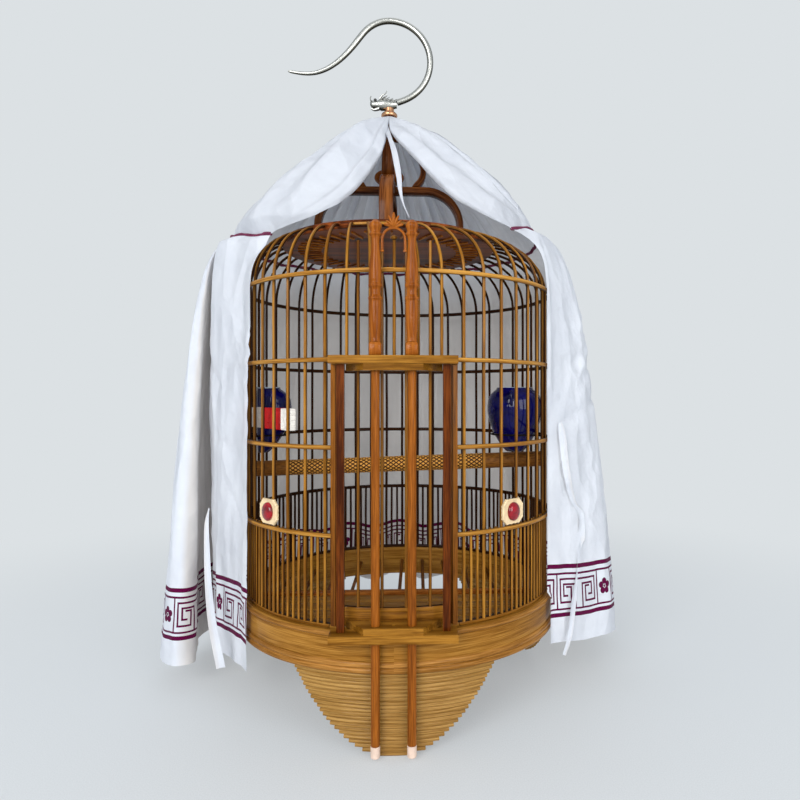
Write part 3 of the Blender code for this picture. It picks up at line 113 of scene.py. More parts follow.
def turns(sides):
    """Angles of the corners of a regular outline."""
    return [tau * k / sides for k in range(sides)]


# Curves and sections

def circle(radius, sides):
    return [(radius * cos(a + pi / sides), radius * sin(a + pi / sides)) for a in turns(sides)]


def rounded_box(width, height, bevel, corner_steps=2):
    """Outline of a rectangle with round corners, as (across, up)."""
    outline = []
    for cx, cy, start in ((1, 1, 0), (-1, 1, 1), (-1, -1, 2), (1, -1, 3)):
        for share in steps(corner_steps):
            angle = pi / 2 * (start + share)
            outline.append((cx * (width / 2 - bevel) + bevel * cos(angle),
                            cy * (height / 2 - bevel) + bevel * sin(angle)))
    return outline


def smooth_path(points, count):
    """Catmull-Rom curve through points."""
    out = []
    padded = [points[0] * 2 - points[1]] + list(points) + [points[-1] * 2 - points[-2]]
    for a, b, c, d in zip(padded, padded[1:], padded[2:], padded[3:]):
        for t in steps(count)[:-1]:
            out.append(0.5 * (2 * b + (c - a) * t + (2 * a - 5 * b + 4 * c - d) * t * t
                              + (3 * b - a - 3 * c + d) * t ** 3))
    return out + [points[-1].copy()]


def profile(pairs, base, across=MM, up=MM):
    """A (radius, z) profile above a base, from pairs in other units."""
    return [(across * a, base + up * b) for a, b in pairs]


def round_profile(coarse, count=4):
    """Smooth a coarse turned profile."""
    path = smooth_path([Vector((radius, z, 0)) for radius, z in coarse], count)
    return [(max(p.x, 0.0001), p.y) for p in path]


def tangents(points):
    """Each point of a path with the path's direction there."""
    ends = [points[0], *points, points[-1]]
    return [(point, (after - before).normalized()) for before, point, after in zip(ends, points, ends[2:])]


def link(name, data):
    obj = bpy.data.objects.new(name, data)
    bpy.context.scene.collection.objects.link(obj)
    return obj


class Shape:
    """Points, faces and texture places in metres, gathered before they become one mesh."""

    def __init__(self):
        self.points, self.faces, self.places = [], [], []

    def skin(self, rings, closed_path=False, caps=True, grain_shift=0.0):
        """Bridge rings of points: the grain runs from ring to ring."""
        count, start = len(rings[0]), len(self.points)
        self.points.extend(point for ring in rings for point in ring)
        first, widest = ([(b - a).length for a, b in zip(ring, ring[1:] + ring[:1])]
                         for ring in (rings[0], rings[len(rings) // 2]))
        scale = sum(widest) / sum(first)
        across = [0.0, *accumulate(side * scale for side in first)]
        gaps = [sum((b - a).length for a, b in zip(near, far)) / count
                for near, far in zip(rings, rings[1:] + rings[:1])]
        along = [*accumulate(gaps, initial=grain_shift)]
        for r in range(len(rings) if closed_path else len(rings) - 1):
            near, far = start + r * count, start + (r + 1) % len(rings) * count
            for i in range(count):
                j = (i + 1) % count
                self.faces.append((near + i, near + j, far + j, far + i))
                (u0, u1), (v0, v1) = across[i:i + 2], along[r:r + 2]
                self.places.append(((u0, v0), (u1, v0), (u1, v1), (u0, v1)))
        if caps and not closed_path:
            for r, order in ((0, -1), (len(rings) - 1, 1)):
                face = [start + r * count + i for i in range(count)][::order]
                centre = sum((self.points[i] for i in face), Vector()) / count
                off = [self.points[i] - centre for i in face]
                self.faces.append(face)
                self.places.append([(p.x + p.y, grain_shift + p.z) for p in off])
        return self

    def tube(self, points, outline, across, scales=None, grain_shift=0.0):
        """Carry a section along points, its first axis kept square to one direction."""
        rings = []
        for (point, along), size in zip(tangents(points), scales or [1.0] * len(points)):
            side = across.cross(along).normalized()
            up = along.cross(side)
            rings.append([point + size * (a * side + b * up) for a, b in outline])
        return self.skin(rings, grain_shift=grain_shift)

    def rod(self, points, radius, sides, seed):
        run = points[1] - points[0]
        level = run if run.xy.length > 1e-6 else points[0]
        across = Vector((level.y, -level.x, 0)).normalized()
        return self.tube(points, circle(radius, sides), across, grain_shift=7.3 * seed)

    def band(self, outline, radius, z, start=0.0, end=tau, count=192, shift=0.0, grain_shift=0.0):
        """Sweep an (outward, up) outline round the axis."""
        full = end - start > tau - 1e-6
        rings = [[polar(radius + out, mix(start, end, share), z + up) + RIGHT * shift for out, up in outline]
                 for share in steps(count)]
        return self.skin(rings[:-1] if full else rings, closed_path=full, grain_shift=grain_shift)

    def lathe(self, outline, centre=(TOP_X, 0), sides=32, grain_shift=0.0):
        """Turn a (radius, z) profile about a vertical axis."""
        x, y = centre
        return self.skin([[Vector((x + radius * cos(a), y + radius * sin(a), z)) for a in turns(sides)]
                          for radius, z in outline], grain_shift=grain_shift)

    def make(self, name, finish, *stands_for, body="cage", sharp=35.0, tidy=True):
        """Make the piece's mesh and object, and hang it on its body."""
        mesh = bpy.data.meshes.new(name)
        mesh.from_pydata([point + AXIS for point in self.points], [], self.faces)
        layer = mesh.uv_layers.new(name="grain")
        layer.data.foreach_set("uv", [value for face in self.places for place in face for value in place])
        mesh.materials.append(finish)
        if tidy:
            bm = bmesh.new()
            bm.from_mesh(mesh)
            bmesh.ops.recalc_face_normals(bm, faces=bm.faces)
            bm.to_mesh(mesh)
            bm.free()
        mesh.shade_smooth()
        mesh.set_sharp_from_angle(angle=radians(sharp))
        obj = link(name, mesh)
        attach(obj, body)
        if stands_for:
            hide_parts(*stands_for)
        return obj


def camera():
    """Camera at the photograph's place."""
    distance, height, yaw = 0.7484, 0.316, -0.0687
    data = bpy.data.cameras.new("camera")
    data.lens, data.sensor_width = 29.66, 36.0
    data.shift_x, data.shift_y = -0.0555, -0.0055
    data.clip_start, data.clip_end = 0.05, 50.0
    obj = link("camera", data)
    obj.location = AXIS + polar(distance, CAMERA_TURN, height)
    obj.rotation_euler = (pi / 2, 0.0, yaw + CAMERA_TURN)
    bpy.context.scene.camera = obj


# Materials

class Nodes:
    """Short hand for building the nodes of a material or a world."""

    def __init__(self, owner):
        owner.use_nodes = True
        self.owner, self.tree = owner, owner.node_tree
        self.shader = self.tree.nodes.get("Principled BSDF")

    def node(self, kind, inputs=None, **settings):
        node = self.tree.nodes.new(kind)
        for key, value in settings.items():
            setattr(node, key, value)
        for key, value in (inputs or {}).items():
            self.feed(node.inputs[key], value)
        return node

    def add(self, kind, inputs=None, **settings):
        """A new node's outputs."""
        return self.node(kind, inputs, **settings).outputs

    def feed(self, socket, value):
        if isinstance(value, bpy.types.NodeSocket):
            self.tree.links.new(value, socket)
        else:
            socket.default_value = value

    def math(self, operation, a, b=0.0, c=0.0):
        return self.add("ShaderNodeMath", {0: a, 1: b, 2: c}, operation=operation)[0]

    def plus(self, a, b):
        return self.math("ADD", a, b)

    def minus(self, a, b):
        return self.math("SUBTRACT", a, b)

    def times(self, a, b):
        return self.math("MULTIPLY", a, b)

    def vector(self, operation, a, b=(0, 0, 0), output=0):
        return self.add("ShaderNodeVectorMath", {0: a, 1: b}, operation=operation)[output]

    def noise(self, vector, scale, detail=3.0, roughness=0.55):
        return self.add("ShaderNodeTexNoise", {"Vector": vector, "Scale": scale, "Detail": detail,
                                               "Roughness": roughness})["Fac"]

    def coords(self, kind="Object"):
        return self.add("ShaderNodeTexCoord")[kind]

    def split(self, vector):
        return self.add("ShaderNodeSeparateXYZ", {0: vector})

    def outward(self):
        """From 0, facing the cage's axis, to 1, facing away from it."""
        geometry = self.add("ShaderNodeNewGeometry")
        height = self.math("MINIMUM", self.split(geometry["Position"])[2], SHOULDER_Z)
        centre = self.add("ShaderNodeCombineXYZ", {0: AXIS.x, 1: AXIS.y, 2: height})[0]
        away = self.vector("NORMALIZE", self.vector("SUBTRACT", geometry["Position"], centre))
        facing = self.vector("DOT_PRODUCT", away, geometry["Normal"], "Value")
        return self.math("MULTIPLY_ADD", facing, 0.5, 0.5)

    def stretch(self, vector, scale):
        return self.add("ShaderNodeMapping", {"Vector": vector, "Scale": scale})[0]

    def ramp(self, value, *stops):
        node = self.node("ShaderNodeValToRGB", {"Fac": value})
        elements = node.color_ramp.elements
        while len(elements) < len(stops):
            elements.new(0.5)
        for element, (place, colour) in zip(elements, stops):
            element.position = place
            element.color = (*colour, 1.0)
        return node.outputs[0]

    def blend(self, share, a, b):
        colours = [c if isinstance(c, bpy.types.NodeSocket) else (*c, 1.0) for c in (a, b)]
        return self.add("ShaderNodeMix", {"Factor": share, 6: colours[0], 7: colours[1]}, data_type="RGBA")[2]

    def bump(self, height, strength, distance=0.0005):
        relief = self.add("ShaderNodeBump", {"Height": height, "Strength": strength, "Distance": distance})
        self.feed(self.shader.inputs["Normal"], relief[0])

    def set(self, **values):
        for key, value in values.items():
            self.feed(self.shader.inputs[key.replace("_", " ")], value)

    def mixed(self, share, first, second, output="Material Output"):
        """Show a mix of two shaders."""
        shown = self.add("ShaderNodeMixShader", {0: share, 1: first, 2: second})[0]
        self.feed(self.tree.nodes[output].inputs["Surface"], shown)


def material(name):
    return Nodes(bpy.data.materials.new(name))


def srgb(red, green, blue):
    """Linear colour from an 8-bit screen colour."""
    return tuple(share / 12.92 if share <= 0.04045 else ((share + 0.055) / 1.055) ** 2.4
                 for share in (red / 255, green / 255, blue / 255))


def wood(name, light, dark, grain="uv", fibre=1300.0, length=35.0, tone=0.5, gloss=0.33, inside=0.0):
    """Varnished bamboo or wood with fibres along the grain, and painted shade that darkens the side towards the
    cage's axis.
    """
    n = material(name)
    light, dark = srgb(*light), srgb(*dark)
    place = n.coords("UV" if grain == "uv" else "Object")
    scales = {"uv": (fibre, length, 1.0), "x": (length, fibre, fibre), "z": (fibre, fibre, length)}[grain]
    fine = n.noise(n.stretch(place, scales), 1.0, 4.0, 0.6)
    broad = n.noise(n.stretch(place, [value * 0.12 for value in scales]), 1.0, 3.0, 0.5)
    fibres = n.plus(n.times(fine, 1 - tone), n.times(broad, tone))
    colour = n.ramp(fibres, (0.30, [value * 0.5 for value in dark]), (0.44, dark), (0.60, light))
    # painted shade: the share given by inside pulls faces turned towards the cage's axis to a near-black brown,
    # as if unlit
    if inside:
        clear_of_painted_shade = n.ramp(n.outward(), (0.52, (0, 0, 0)), (0.90, (1, 1, 1)))
        colour = n.blend(clear_of_painted_shade, n.blend(inside, colour, srgb(36, 10, 4)), colour)
    n.set(Base_Color=colour, Roughness=n.plus(n.times(fine, 0.15), gloss - 0.06))
    n.set(Specular_IOR_Level=0.06, Coat_Weight=0.10, Coat_Roughness=0.11)
    n.bump(fine, 0.25, 0.0003)
    return n.owner


# inside=0.95 paints shade on the axis side of the wires, hoops and gate
BAMBOO_WIRE = wood("bamboo_wire", (178, 124, 46), (120, 74, 16), tone=0.55, inside=0.95)
BAMBOO_HOOP = wood("bamboo_hoop", (200, 146, 66), (142, 92, 28), tone=0.55, inside=0.95)
BAMBOO_RING = wood("bamboo_ring", (176, 126, 54), (126, 80, 20), fibre=1500.0, length=26.0, tone=0.4)
BAMBOO_FOOT = wood("bamboo_foot", (178, 138, 78), (136, 98, 44), fibre=1400.0, length=30.0, tone=0.35)
BAMBOO_BEAD = wood("bamboo_bead", (186, 132, 66), (130, 84, 28))
BAMBOO_DARK = wood("bamboo_dark", (136, 80, 34), (72, 32, 6), gloss=0.24)
BAR_WOOD = wood("bar_wood", (160, 92, 28), (118, 62, 12), tone=0.35)
CARVED_WOOD = wood("carved_wood_finish", (174, 102, 36), (124, 62, 12), gloss=0.2)
PLANK_WOOD = wood("plank_wood", (160, 110, 38), (112, 70, 14), grain="x", fibre=900.0, length=40.0)
POST_WOOD = wood("post_wood", (112, 54, 10), (60, 22, 0), grain="z", fibre=900.0, length=40.0)
INNER_POST_WOOD = wood("inner_post_wood", (146, 88, 26), (88, 46, 6), grain="z", fibre=600.0, length=30.0)
GATE_WOOD = wood("gate_wood", (158, 106, 36), (100, 58, 12), fibre=900.0, length=20.0, inside=0.95)
DISC_WOOD = wood("disc_wood", (140, 70, 26), (58, 20, 2), grain="x", fibre=500.0, length=12.0)
STICK_WOOD = wood("stick_wood", (136, 80, 28), (74, 36, 6))
BATTEN_WOOD = wood("batten_wood", (186, 116, 48), (116, 60, 14), grain="x", fibre=600.0, length=20.0)


def plain(name, colour, roughness, metallic=0.0, mottling=0.06, scale=120.0, coat=0.0, bump=0.0,
          specular=0.5):
    """Smooth finish with slight mottling."""
    n = material(name)
    cloud = n.noise(n.coords(), scale, 3.0)
    dark, light = ([min(1.0, value * share) for value in srgb(*colour)]
                   for share in (1 - mottling, 1 + mottling))
    n.set(Base_Color=n.ramp(cloud, (0.35, dark), (0.65, light)), Metallic=metallic)
    n.set(Roughness=n.plus(n.times(cloud, roughness * 0.5), roughness * 0.75))
    n.set(Coat_Weight=coat, Coat_Roughness=0.05, Specular_IOR_Level=specular)
    if bump:
        n.bump(cloud, bump)
    return n.owner


def steel():
    """Polished steel with painted shade and reflection: lighter where it faces front or back, darker towards its
    sides and darkest underneath, with random mottling.
    """
    n = material("polished_steel")
    normal = n.split(n.add("ShaderNodeNewGeometry")["Normal"])
    cloud = n.noise(n.coords(), 60.0, 2.0)
    # painted shade and reflection: front- and back-facing surfaces lighter, sides and underside darker
    face = n.plus(n.math("ABSOLUTE", normal[1]), n.times(normal[2], 0.22))
    painted_shade_and_reflection = n.math("MULTIPLY_ADD", cloud, 0.3, n.minus(face, 0.15))
    n.set(Base_Color=n.ramp(painted_shade_and_reflection, (0.16, srgb(44, 40, 30)), (0.48, srgb(96, 92, 80)),
                            (0.66, srgb(164, 163, 154)), (0.95, srgb(190, 190, 184))))
    n.set(Metallic=1.0, Roughness=0.3)
    return n.owner


STEEL = steel()
DARK_EYE = plain("black_eye", (16, 13, 10), 0.2)
COPPER = plain("copper_ring", (214, 160, 120), 0.3, metallic=1.0)
GLAZE = plain("cobalt_glaze", (6, 6, 70), 0.12, mottling=0.4, scale=90.0, coat=0.35, specular=0.15)
RIM = plain("pale_rim", (176, 190, 206), 0.25, mottling=0.1, scale=300.0, coat=0.5)
BONE = plain("carved_bone", (240, 234, 226), 0.42, mottling=0.08, scale=300.0, coat=0.1, bump=0.3)
CREAM = plain("cream_plate", (238, 212, 168), 0.4, mottling=0.08, scale=260.0, coat=0.2, bump=0.2)
RED = plain("red_resin_bar", (196, 8, 14), 0.3, mottling=0.15, scale=200.0, coat=0.12, specular=0.2)
GEM = plain("red_stone", (132, 2, 20), 0.08, mottling=0.5, scale=160.0, coat=0.5, specular=0.3)
CAP = plain("clear_cap_finish", (222, 196, 178), 0.35, mottling=0.08, scale=200.0)
IRON = plain("dark_wire_finish", (20, 16, 18), 0.5, metallic=0.3, specular=0.1)


# Wall, hoops and ring

def wire_route(angle, bottom, wander=0.0):
    """Up the wall, over the shoulder and in to the disc, a little out of true."""
    points = []
    for share in steps(7)[:-1]:
        z = mix(bottom, SHOULDER_Z, share)
        sway = wander * noise.noise(Vector((angle * 7.0, z * 9.0, 3.1)))
        points.append(polar(CAGE_RADIUS, angle + sway / CAGE_RADIUS, z))
    for share in steps(9):
        turn = DOME_TURN * share
        inward = BEND_RADIUS * (1 - cos(turn))
        lean = RIGHT * TOP_X * inward / WIRE_TRAVEL
        points.append(polar(CAGE_RADIUS - inward, angle, SHOULDER_Z + BEND_RADIUS * sin(turn)) + lean)
    return points


def sill(shape, start, end, count):
    """Strip in which the wires stand."""
    section = rounded_box(6.0 * MM, SILL_TOP - SILL_BOTTOM, 0.6 * MM)
    return shape.band(section, CAGE_RADIUS - 1.2 * MM, middle("door_sill", 2), start, end, count)


def wall():
    shape = Shape()
    bottom = SILL_BOTTOM + 1.2 * MM
    first, last = 3, WIRE_COUNT - 3
    for wire in range(first, last + 1):
        radius = WIRE_RADIUS * (1.06 + 0.06 * sin(wire * 12.9))
        shape.rod(wire_route(wire * PITCH, bottom, 0.8 * MM), radius, 9, wire)
        for i in (1, 2) if wire < last else ():
            angle = (wire + i / 3) * PITCH
            sway = 0.4 * MM * sin(wire * 7.7 + i * 3.1) / CAGE_RADIUS
            route = ((0, bottom), (sway, mix(SILL_TOP, WAIST_Z, 0.5)), (0, WAIST_Z + 2.4 * MM))
            shape.rod([polar(CAGE_RADIUS, angle + turn, z) for turn, z in route], FINE_RADIUS * 1.15, 7,
                      wire * 3 + i + 60)
    start = asin((span("door_sill", 0)[1] + 0.6 * MM) / CAGE_RADIUS)
    sill(shape, start, tau - start, 180)
    sectors = ("front_right", "right", "back_right", "back", "back_left", "left", "front_left")
    shape.make("wall_wires", BAMBOO_WIRE, *(f"wires_{name}" for name in sectors))


def door_wires():
    shape = Shape()
    for wire in (-2, -1, 1, 2):
        shape.rod(wire_route(wire * PITCH, DOOR_TOP_Z - 1.95 * MM), WIRE_RADIUS, 9, wire + 90)
    reach = 2 * PITCH + WIRE_RADIUS / DISC_RADIUS
    top = SHOULDER_Z + BEND_RADIUS * sin(DOME_TURN)
    section = rounded_box(2.4 * MM, 3.0 * MM, 0.6 * MM)
    shape.band(section, DISC_RADIUS + 1.6 * MM, top - 0.8 * MM, -reach, reach, 24, TOP_X)
    shape.make("short_wires", BAMBOO_WIRE, "wires_above_door")
    low, high = span("door_centre_rod", 2)
    shape = Shape().rod([polar(CAGE_RADIUS, 0, low), polar(CAGE_RADIUS, 0, high)], WIRE_RADIUS, 10, 99)
    bead = profile(((0.6, -0.2), (2.6, 0.6), (3.0, 2.4), (1.6, 4.0), (0.3, 4.4)), high)
    shape.lathe(round_profile(bead, 3), (0, -CAGE_RADIUS), 14)
    shape.make("centre_rod_with_bead", BAMBOO_WIRE, "door_centre_rod")


def hoops():
    for node in ("hoop_waist", "hoop_middle", "hoop_door_top", "hoop_shoulder"):
        full = node in ("hoop_door_top", "hoop_shoulder")
        start = 0.0 if full else asin((span("door_post_inner_right", 0)[1] - 2.0 * MM) / CAGE_RADIUS)
        section = rounded_box(4.2 * MM, extent(node, 2) * 0.96, 1.9 * MM, 3)
        shape = Shape().band(section, span("hoop_shoulder", 0)[1] - 2.1 * MM, middle(node, 2), start,
                             tau - start, grain_shift=span(node, 2)[0] * 100)
        shape.make(f"{node}_round", BAMBOO_HOOP, node)


def base_ring():
    section = rounded_box(RING_OUTER - RING_INNER, extent("base_ring", 2), 1.6 * MM, 3)
    shape = Shape().band(section, (RING_OUTER + RING_INNER) / 2, middle("base_ring", 2))
    shape.make("ring_band", BAMBOO_RING, "base_ring")
    for name, beads, depth in (("top", 1, 1.9 * MM), ("bottom", 2, 2.1 * MM)):
        node = f"rim_bead_{name}"
        half = extent(node, 2) / 2 / beads
        section = [(depth * cos(a), half * sin(a)) for a in [pi * (share - 0.5) for share in steps(8)]]
        shape = Shape()
        for i in range(beads):
            shape.band(section, RING_OUTER + 0.2 * MM, span(node, 2)[0] + half * (1 + 2 * i),
                       grain_shift=i * 2.0)
        shape.make(f"ring_bead_{name}", BAMBOO_BEAD, node)
    end = asin(span("door_sill", 0)[1] / CAGE_RADIUS)
    sill(Shape(), -end, end, 40).make("sill_under_door", BAMBOO_RING, "door_sill")


def feet():
    """Each foot is a stack of bent strips, wide at the ring and narrow at the ground."""
    strips = 21
    layer = span("foot_front", 2)[1] / strips
    section = rounded_box(6.2 * MM, layer * 1.08, 1.45 * MM, 3)
    half_top = asin(span("foot_front", 0)[1] / RING_OUTER)
    tip = 7.0 * MM / RING_OUTER
    for index, node in enumerate(("foot_front", "foot_back_right", "foot_back_left")):
        centre = tau * index / 3
        shape = Shape()
        for i in range(strips):
            half = mix(tip, half_top, ((i + 0.5) / strips) ** (1 / 1.8))
            half -= 0.3 * MM * (1 + sin(i * 5.3 + index)) / RING_OUTER
            shape.band(section, RING_OUTER - 3.6 * MM + 0.25 * MM * sin(i * 2.1 + index), layer * (i + 0.5),
                       centre - half, centre + half, max(6, int(half * 2 / radians(1.6))),
                       grain_shift=i * 3.7 + index)
        shape.make(f"{node}_strips", BAMBOO_FOOT, node)


def board(shape, half, y, z, outline, grain_shift=0.0):
    """Straight board from left to right."""
    points = [Vector((mix(-half, half, share), y, z)) for share in steps(8)]
    return shape.tube(points, outline, UP, grain_shift=grain_shift)


def chord(offset, room, half_width):
    """How far a stick at an offset from the axis reaches inside the ring."""
    return sqrt((RING_INNER - room) ** 2 - (abs(offset) + half_width) ** 2)


def floor_pieces():
    centre = middle("floor_grid", 2)
    section = rounded_box(8.0 * MM, extent("floor_grid", 2), 1.0 * MM)
    shape = board(Shape(), extent("floor_grid", 0) / 2 - 0.6 * MM, 0, centre, section)
    shape.make("floor_batten", BATTEN_WOOD, "floor_grid")
    shape = Shape()
    for i in range(-5, 6):
        x = i * 27.5 * MM
        reach = chord(x, 0.6 * MM, 2.1 * MM)
        shape.rod([Vector((x, y, centre)) for y in (-reach, 0, reach)], 2.1 * MM, 10, i + 20)
    shape.make("floor_sticks", STICK_WOOD, "floor_grid")
    shape = Shape()
    section = rounded_box(23.6 * MM, 1.8 * MM, 0.5 * MM)
    for i in range(4):
        y = (-22.0 - 24.5 * i) * MM
        board(shape, chord(y, 1.0 * MM, 12.0 * MM), y, centre + 3.2 * MM, section, i * 5.3)
    shape.make("floor_front_slats", BAMBOO_RING)


# Dome top, claw and hook

def dome_disc():
    half = (DISC_TOP - DISC_BOTTOM) / 2
    inset = DISC_RADIUS - 2.0 * MM
    outline = [(0.004, DISC_BOTTOM), (DISC_RADIUS * 0.5, DISC_BOTTOM), (inset, DISC_BOTTOM)]
    outline += [(inset + 1.9 * MM * cos(a), middle("top_disc", 2) + half * sin(a))
                for a in [pi * (share - 0.5) for share in steps(6)]]
    outline += [(DISC_RADIUS * 0.5, DISC_TOP), (0.004, DISC_TOP)]
    Shape().lathe(outline, sides=128).make("dome_disc", DISC_WOOD, "top_disc")
    shape = Shape()
    section = rounded_box(2.2 * MM, 1.8 * MM, 0.5 * MM, 1)
    for i in range(WIRE_COUNT):
        points = [polar(DISC_RADIUS * share, (i + 0.5) * PITCH, DISC_BOTTOM - 0.7 * MM) + RIGHT * TOP_X
                  for share in (0.64, 0.86)]
        shape.tube(points, section, UP, grain_shift=i * 3.1)
    shape.make("disc_battens", BATTEN_WOOD)


def crossed_arches(half, thickness, widths, seed):
    """Two bent strips with rounded edges that cross over the cage's axis."""
    shape = Shape()
    for i, direction in enumerate((RIGHT, BACK)):
        points = [direction * reach + UP * z for reach, z in half]
        points += [direction * -reach + UP * z for reach, z in reversed(half)]
        path = tangents(points)
        path[0], path[-1] = (points[0], UP), (points[-1], -UP)
        across = UP.cross(direction)
        rings = []
        for (point, along), width in zip(path, widths + widths[::-1]):
            normal = along.cross(across).normalized()
            rings.append([point + normal * b + across * a + RIGHT * TOP_X
                          for a, b in rounded_box(width, thickness, 1.5 * MM)])
        shape.skin(rings, grain_shift=seed + i * 4.0)
    return shape


def claw():
    foot_z, top = span("claw_arches", 2)
    thickness, reach, bend = 7.5 * MM, 80.0 * MM, 40.0 * MM
    centre_z = top - thickness / 2 - bend
    half = [(reach, mix(foot_z, centre_z, share)) for share in steps(3)[:-1]]
    half += [(reach - bend * (1 - cos(a)), centre_z + bend * sin(a)) for a in [pi / 2 * s for s in steps(12)]]
    half += [(mix(reach - bend, 0.5 * MM, share), centre_z + bend) for share in steps(4)[1:]]
    shape = crossed_arches(half, thickness, [14.5 * MM] * len(half), 0.0)
    shape.make("claw_arch_strips", BAMBOO_DARK, "claw_arches")
    low, high = span("claw_bulb", 2)
    foot, belly = 29.0 * MM, 38.5 * MM
    shares = ((0.0, 0.0), (0.75, 0.14), (1.0, 0.32), (0.80, 0.50), (0.30, 0.68), (-0.35, 0.82), (-1.35, 0.93))
    half = round_profile([(mix(foot, belly, out), low + (high - low + 1.5 * MM) * up) for out, up in shares])
    neck, neck_z = half[-1]
    half += [(mix(neck, 0.5 * MM, i / 3), neck_z + 0.4 * MM * i) for i in range(1, 4)]
    shape = crossed_arches(half, 6.5 * MM, [mix(14.5 * MM, 8.0 * MM, s) for s in steps(len(half) - 1)], 9.0)
    shape.make("claw_bulb_strips", BAMBOO_DARK, "claw_bulb")
    low, high = span("claw_cap", 2)
    cap = profile(((8.3, 0), (8.5, 3.5), (7.0, 7.0), (5.6, 12.0)), low) + [(5.2 * MM, high)]
    Shape().lathe(round_profile(cap)).make("claw_cap_round", BAMBOO_DARK, "claw_cap")


HOOK_RADIUS = 47.0 * MM
HEAD_RISE = 5.75 * MM
HOOK_TAIL = ((-26.3, 36.2), (-38.4, 19.3), (-55.3, 0.4), (-75.5, -12.8), (-94.5, -15.8), (-113.5, -12.8))
SMOOTHING_PASSES = 14


def hook():
    low, high = span("hook_knob", 2)
    shares = ((0.16, 0.0), (0.62, 0.05), (0.90, 0.22), (1.0, 0.5), (0.90, 0.78), (0.62, 0.95), (0.16, 1.0))
    knob = round_profile(profile(shares, low, extent("hook_knob", 0) / 2, high - low))
    Shape().lathe(knob, sides=40).make("hook_knob_round", CARVED_WOOD, "hook_knob", body="hook")
    shaft = [(2.3 * MM, mix(*span("hook_shaft", 2), share)) for share in steps(6)]
    Shape().lathe(shaft, sides=20).make("hook_shaft_round", STEEL, "hook_shaft", body="hook")
    low, high = span("hook_collar", 2)
    collar = profile(((6.6, 0), (8.6, 0.6), (9.2, 1.8), (9.0, 3.4), (8.0, 4.6), (6.4, 5.4), (5.4, 6.4)), low)
    shape = Shape().lathe(collar + [(5.2 * MM, high)], sides=36)
    shape.make("hook_collar_round", COPPER, "hook_collar", body="hook")


def hook_rod():
    """Round rod: a ring that leaves the beast's neck and runs out to a low, slightly raised tip."""
    centre = Vector((TOP_X, 0, span("hook_ornament", 2)[0] + HEAD_RISE + HOOK_RADIUS))
    angles = [radians(mix(-79.0, 104.0, share)) for share in steps(49)]
    points = [centre + HOOK_RADIUS * Vector((cos(a), 0, sin(a))) for a in angles]
    points += smooth_path([points[-1]] + [centre + mm(x, 0, z) for x, z in HOOK_TAIL], 6)[1:]
    for _ in range(SMOOTHING_PASSES):
        points[1:-1] = [a * 0.25 + b * 0.5 + c * 0.25 for a, b, c in zip(points, points[1:], points[2:])]
    scales = [0.46 + 0.54 * min(1.0, (1 - share) / 0.30) for share in steps(len(points) - 1)]
    scales[-1] *= 0.5
    shape = Shape().tube(points, circle(3.45 * MM, 24), BACK, scales)
    shape.make("hook_rod_round", STEEL, "hook_rod", body="hook")


def ornament():
    """Beast's head at the hook's root: muzzle, jaws, brow, mane and two horns."""
    x0, x1 = span("hook_ornament", 0)
    root = Vector((x0, 0, span("hook_ornament", 2)[0] + HEAD_RISE))
    shape, eyes = Shape(), Shape()
    shares = ((0.0, 0.22, 0.10), (0.04, 0.42, 0.05), (0.12, 0.60, 0.0), (0.20, 0.52, 0.02), (0.30, 0.70, 0.02),
              (0.42, 0.95, 0.0), (0.55, 1.0, 0.0), (0.68, 0.86, 0.0), (0.80, 0.88, 0.0), (0.90, 0.70, 0.0),
              (1.0, 0.52, 0.0))
    rings = []
    for i, (along, size, lift) in enumerate(shares):
        ring = [(a, size * (1 + 0.10 * sin(5 * a + i * 1.9))) for a in turns(18)]
        rings.append([Vector((mix(x0, x1, along), 5.8 * MM * out * cos(a),
                              root.z - 1.6 * MM + 7.0 * MM * (out * sin(a) + lift))) for a, out in ring])
    shape.skin(rings)

    def strand(count, radius, sides, thick, thin, *points):
        """Curved strand that tapers between two shares of its radius."""
        path = smooth_path([root + mm(*point) for point in points], count)
        shape.tube(path, circle(radius * MM, sides), BACK, [mix(thick, thin, s) for s in steps(len(path) - 1)])

    for side in (-1, 1):
        strand(4, 0.9, 8, 1.2, 0.35, (11, side * 2.2, 4.2), (14, side * 3.4, 7.6), (17.5, side * 4.2, 9.4),
               (19.0, side * 4.0, 12.4))
        eye = profile(((0.1, -1.8), (1.6, -0.8), (1.7, 0.6), (0.1, 1.8)), root.z + 2.2 * MM)
        eyes.lathe(eye, (x0 + 5.8 * MM, side * 3.5 * MM), 12)
        for k in range(4):
            x, z = 12 + 4 * k, 2.6 - 1.1 * k
            strand(3, 1.0, 7, 1.1, 0.3, (x, side * 3.8, z), (x + 3, side * 5.2, z + 1.4),
                   (x + 6, side * 4.8, z + 3.4))
        strand(3, 0.5, 6, 1, 1, (1.5, side * 2.0, 0.6), (0.2, side * 4.0, 3.0), (1.4, side * 5.0, 5.6))
    strand(4, 1.9, 10, 1.2, 0.5, (10, 0, -6.0), (5, 0, -7.6), (1.0, 0, -6.2))
    shape.make("hook_beast_head", STEEL, "hook_ornament", body="hook", sharp=50.0)
    eyes.make("hook_beast_eyes", DARK_EYE, body="hook")


# Door

def door_frame():
    """Planks and posts keep their CAD shape, with soft edges and their finish."""
    for kind, ends, finish, width in (("plank", ("top", "bottom"), PLANK_WOOD, 0.5),
                                      ("post_outer", ("left", "right"), POST_WOOD, 0.8),
                                      ("post_inner", ("left", "right"), INNER_POST_WOOD, 0.8)):
        for end in ends:
            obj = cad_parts[f"door_{kind}_{end}"]
            for slot in obj.material_slots:
                slot.material = finish
            step = obj.modifiers.new("soft_edges", "BEVEL")
            step.width = width * MM
            step.segments = 2
            step.limit_method = "ANGLE"
            step.angle_limit = radians(40.0)


